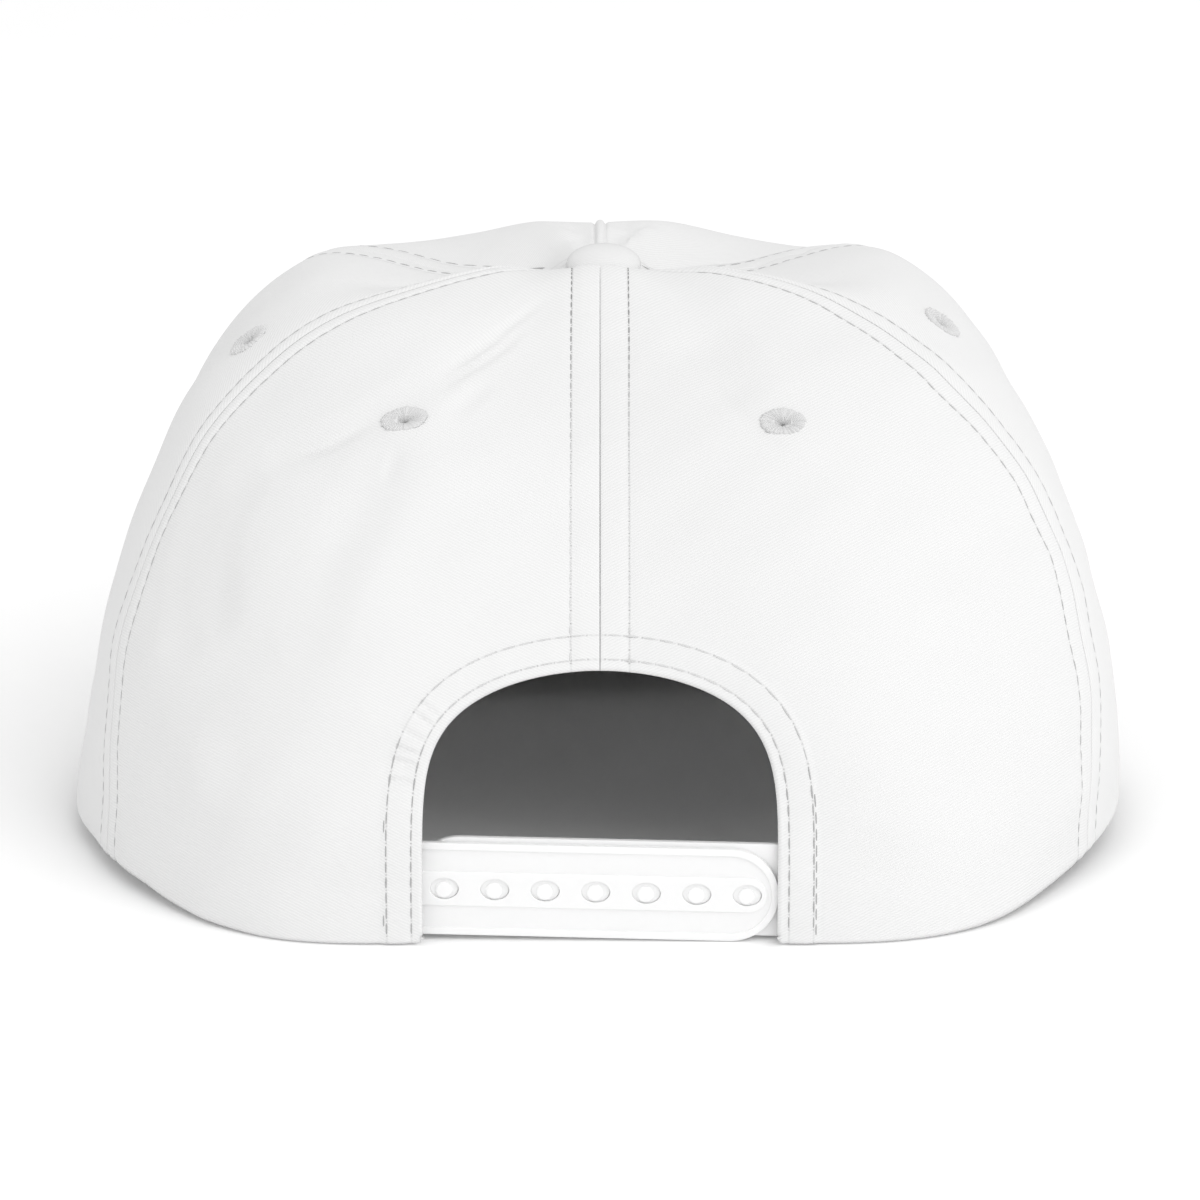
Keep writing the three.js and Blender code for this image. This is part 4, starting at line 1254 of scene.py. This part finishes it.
def plasticMaterial():
    material, tree, shader = newMaterial("strapPlastic", strap["roughness"])
    place = addNode(tree, "ShaderNodeTexCoord").outputs["Object"]
    grain = noiseOf(tree, place, strap["grainScale"], 3.0)
    color = mixColors(tree, grain, gray(strap["dark"]), gray(strap["light"]))
    connect(tree, shader, color, productOf(tree, grain, strap["grainDepth"]))
    shader.inputs["Subsurface Weight"].default_value = strap["translucency"]
    shader.inputs["Subsurface Radius"].default_value = [strap["translucentDepth"]] * 3
    shader.inputs["Subsurface Scale"].default_value = 1.0
    return material


strapPlastic = plasticMaterial()


def finishStrap(mesh, place, name):
    piece = meshPiece(name + "_plastic", bmeshOf(mesh), place)
    finishPiece(piece, strapPlastic, name)
    piece.data.set_sharp_from_angle(angle=math.radians(strap["sharpFrom"]))


def buildOuterStrap():
    height, thickness, channel = strap["height"] / 2, strap["thickness"], strap["channelDepth"]
    farEnd = -strap["hiddenEnd"]
    centre = strap["tipRight"] - height
    holes = [ovalOutline(x, snaps["length"] / 2, snaps["height"] / 2) for x in snapPlaces]
    full = stripOutline(farEnd, 1, height, centre)
    inside = stripOutline(farEnd - 2, 1, height - strap["border"], centre)
    bandEnd = strap["tipRight"] - strap["bandShort"] - strap["band"] / 2
    band = stripOutline(farEnd - 4, 1, strap["band"] / 2, bandEnd)
    groove = platePiece([inside], -channel, 2, strap["slope"] * channel)
    groove = combined(groove, platePiece([band], -2, 0.03, 0.25), "DIFFERENCE")
    body = platePiece([full] + holes, -thickness, 0, strap["rounding"])
    finishStrap(combined(body, groove, "DIFFERENCE"), strapPlace(0), "strap_with_holes")


def buildInnerStrap():
    height, thickness = strap["height"] / 2, strap["thickness"]
    centre = -strap["tipLeft"] + height
    outline = stripOutline(strap["hiddenEnd"], -1, height, centre)
    plate = platePiece([outline], -thickness, 0, strap["rounding"])
    plate.transform(Matrix.Translation((0, strap["innerRise"], 0)))
    for x in snapPlaces:
        outline = ovalOutline(x, snaps["footLength"] / 2, snaps["footHeight"] / 2)
        plate = combined(plate, platePiece([outline], -thickness / 2, snaps["footRise"], 0.1), "UNION")
    pegs = bmesh.new()
    pegLength = strap["gap"] + thickness
    radius = snaps["pegRadius"]
    profile = [(0, -thickness / 2), (radius, -thickness / 2), (radius, pegLength - 0.35)]
    profile += [(radius - 0.08, pegLength - 0.14), (radius - 0.3, pegLength), (0, pegLength)]
    for x in snapPlaces:
        peg = bmesh.new()
        spinProfile(peg, profile, 40)
        bmesh.ops.translate(peg, vec=(x + snaps["offset"], -snaps["drop"], 0), verts=peg.verts)
        mesh = meshOf(peg, "peg")
        pegs.from_mesh(mesh)
        bpy.data.meshes.remove(mesh)
    strip = combined(plate, meshOf(pegs, "pegs"), "UNION")
    finishStrap(strip, strapPlace(thickness + strap["gap"]), "strap_with_pegs")


buildOuterStrap()
buildInnerStrap()
print("straps ready")

# Stage and camera
studio = {
    "elevation": 17.0, "distance": 1.0, "targetY": 20.0, "targetZ": 57.5, "pixelsPerMetre": 5600.0,
    "imageSize": 1200.0, "floorSize": 6, "floorDark": 0.93, "floorLight": 0.95, "floorRoughness": 0.9,
    "glow": 0.14, "glowFrom": 0.05, "glowTo": 0.17, "sky": 0.785,
    "keyPlace": (0.9, -1.35, 1.75), "keyAim": (0, 0, 0.05), "keySize": 2.2, "keyPower": 21,
}


def buildCamera():
    lean = math.radians(studio["elevation"])
    target = Vector((0, (studio["targetY"] - crown["middleY"]) * mm, studio["targetZ"] * mm))
    backward = Vector((0, -math.cos(lean), math.sin(lean)))
    place = target + backward * studio["distance"]
    rim = Vector((0, -crown["middleY"] * mm, 0))
    depth = (place - rim).dot(backward)
    camera = bpy.data.cameras.new("camera")
    camera.sensor_width = 36
    camera.sensor_fit = "HORIZONTAL"
    camera.lens = 36 * studio["pixelsPerMetre"] * depth / studio["imageSize"]
    camera.clip_end = 30
    cameraObject = newObject("camera", camera)
    cameraObject.location = place
    cameraObject.rotation_euler = (math.pi / 2 - lean, 0, 0)
    bpy.context.scene.camera = cameraObject


def areaLight(name, place, aim, size, power):
    light = bpy.data.lights.new(name, "AREA")
    light.shape = "DISK"
    light.size = size
    light.energy = power
    lightObject = newObject(name, light)
    lightObject.location = place
    lightObject.rotation_euler = (Vector(aim) - Vector(place)).to_track_quat("-Z", "Y").to_euler()


def buildStudio():
    bm = bmesh.new()
    bmesh.ops.create_grid(bm, x_segments=1, y_segments=1, size=studio["floorSize"])
    floor = newObject("floor", meshOf(bm, "floor"))
    material, tree, shader = newMaterial("paleFloor", studio["floorRoughness"])
    place = addNode(tree, "ShaderNodeTexCoord").outputs["Object"]
    grain = noiseOf(tree, place, 40.0)
    connect(tree, shader, mixColors(tree, grain, gray(studio["floorDark"]), gray(studio["floorLight"])))
    # Painted light: the floor glows far from the cap and not near it, so it reads white while the cap's shade
    # stays around it
    fromMiddle = addNode(tree, "ShaderNodeVectorMath", {0: place}, operation="LENGTH").outputs["Value"]
    glow = addNode(tree, "ShaderNodeMapRange", {
        "Value": fromMiddle, "From Min": studio["glowFrom"], "From Max": studio["glowTo"],
        "To Min": 0.0, "To Max": 1.0,
    })
    glowing = mixColors(tree, glow.outputs["Result"], gray(0), gray(1))
    tree.links.new(glowing, shader.inputs["Emission Color"])
    shader.inputs["Emission Strength"].default_value = studio["glow"]
    floor.data.materials.append(material)
    world = bpy.data.worlds.new("studio")
    world.use_nodes = True
    sky = world.node_tree.nodes["Background"]
    sky.inputs["Color"].default_value = gray(1)
    sky.inputs["Strength"].default_value = studio["sky"]
    bpy.context.scene.world = world
    bpy.context.scene.view_settings.view_transform = "Standard"
    areaLight("keyLight", studio["keyPlace"], studio["keyAim"], studio["keySize"], studio["keyPower"])


buildCamera()
buildStudio()
print("stage ready")
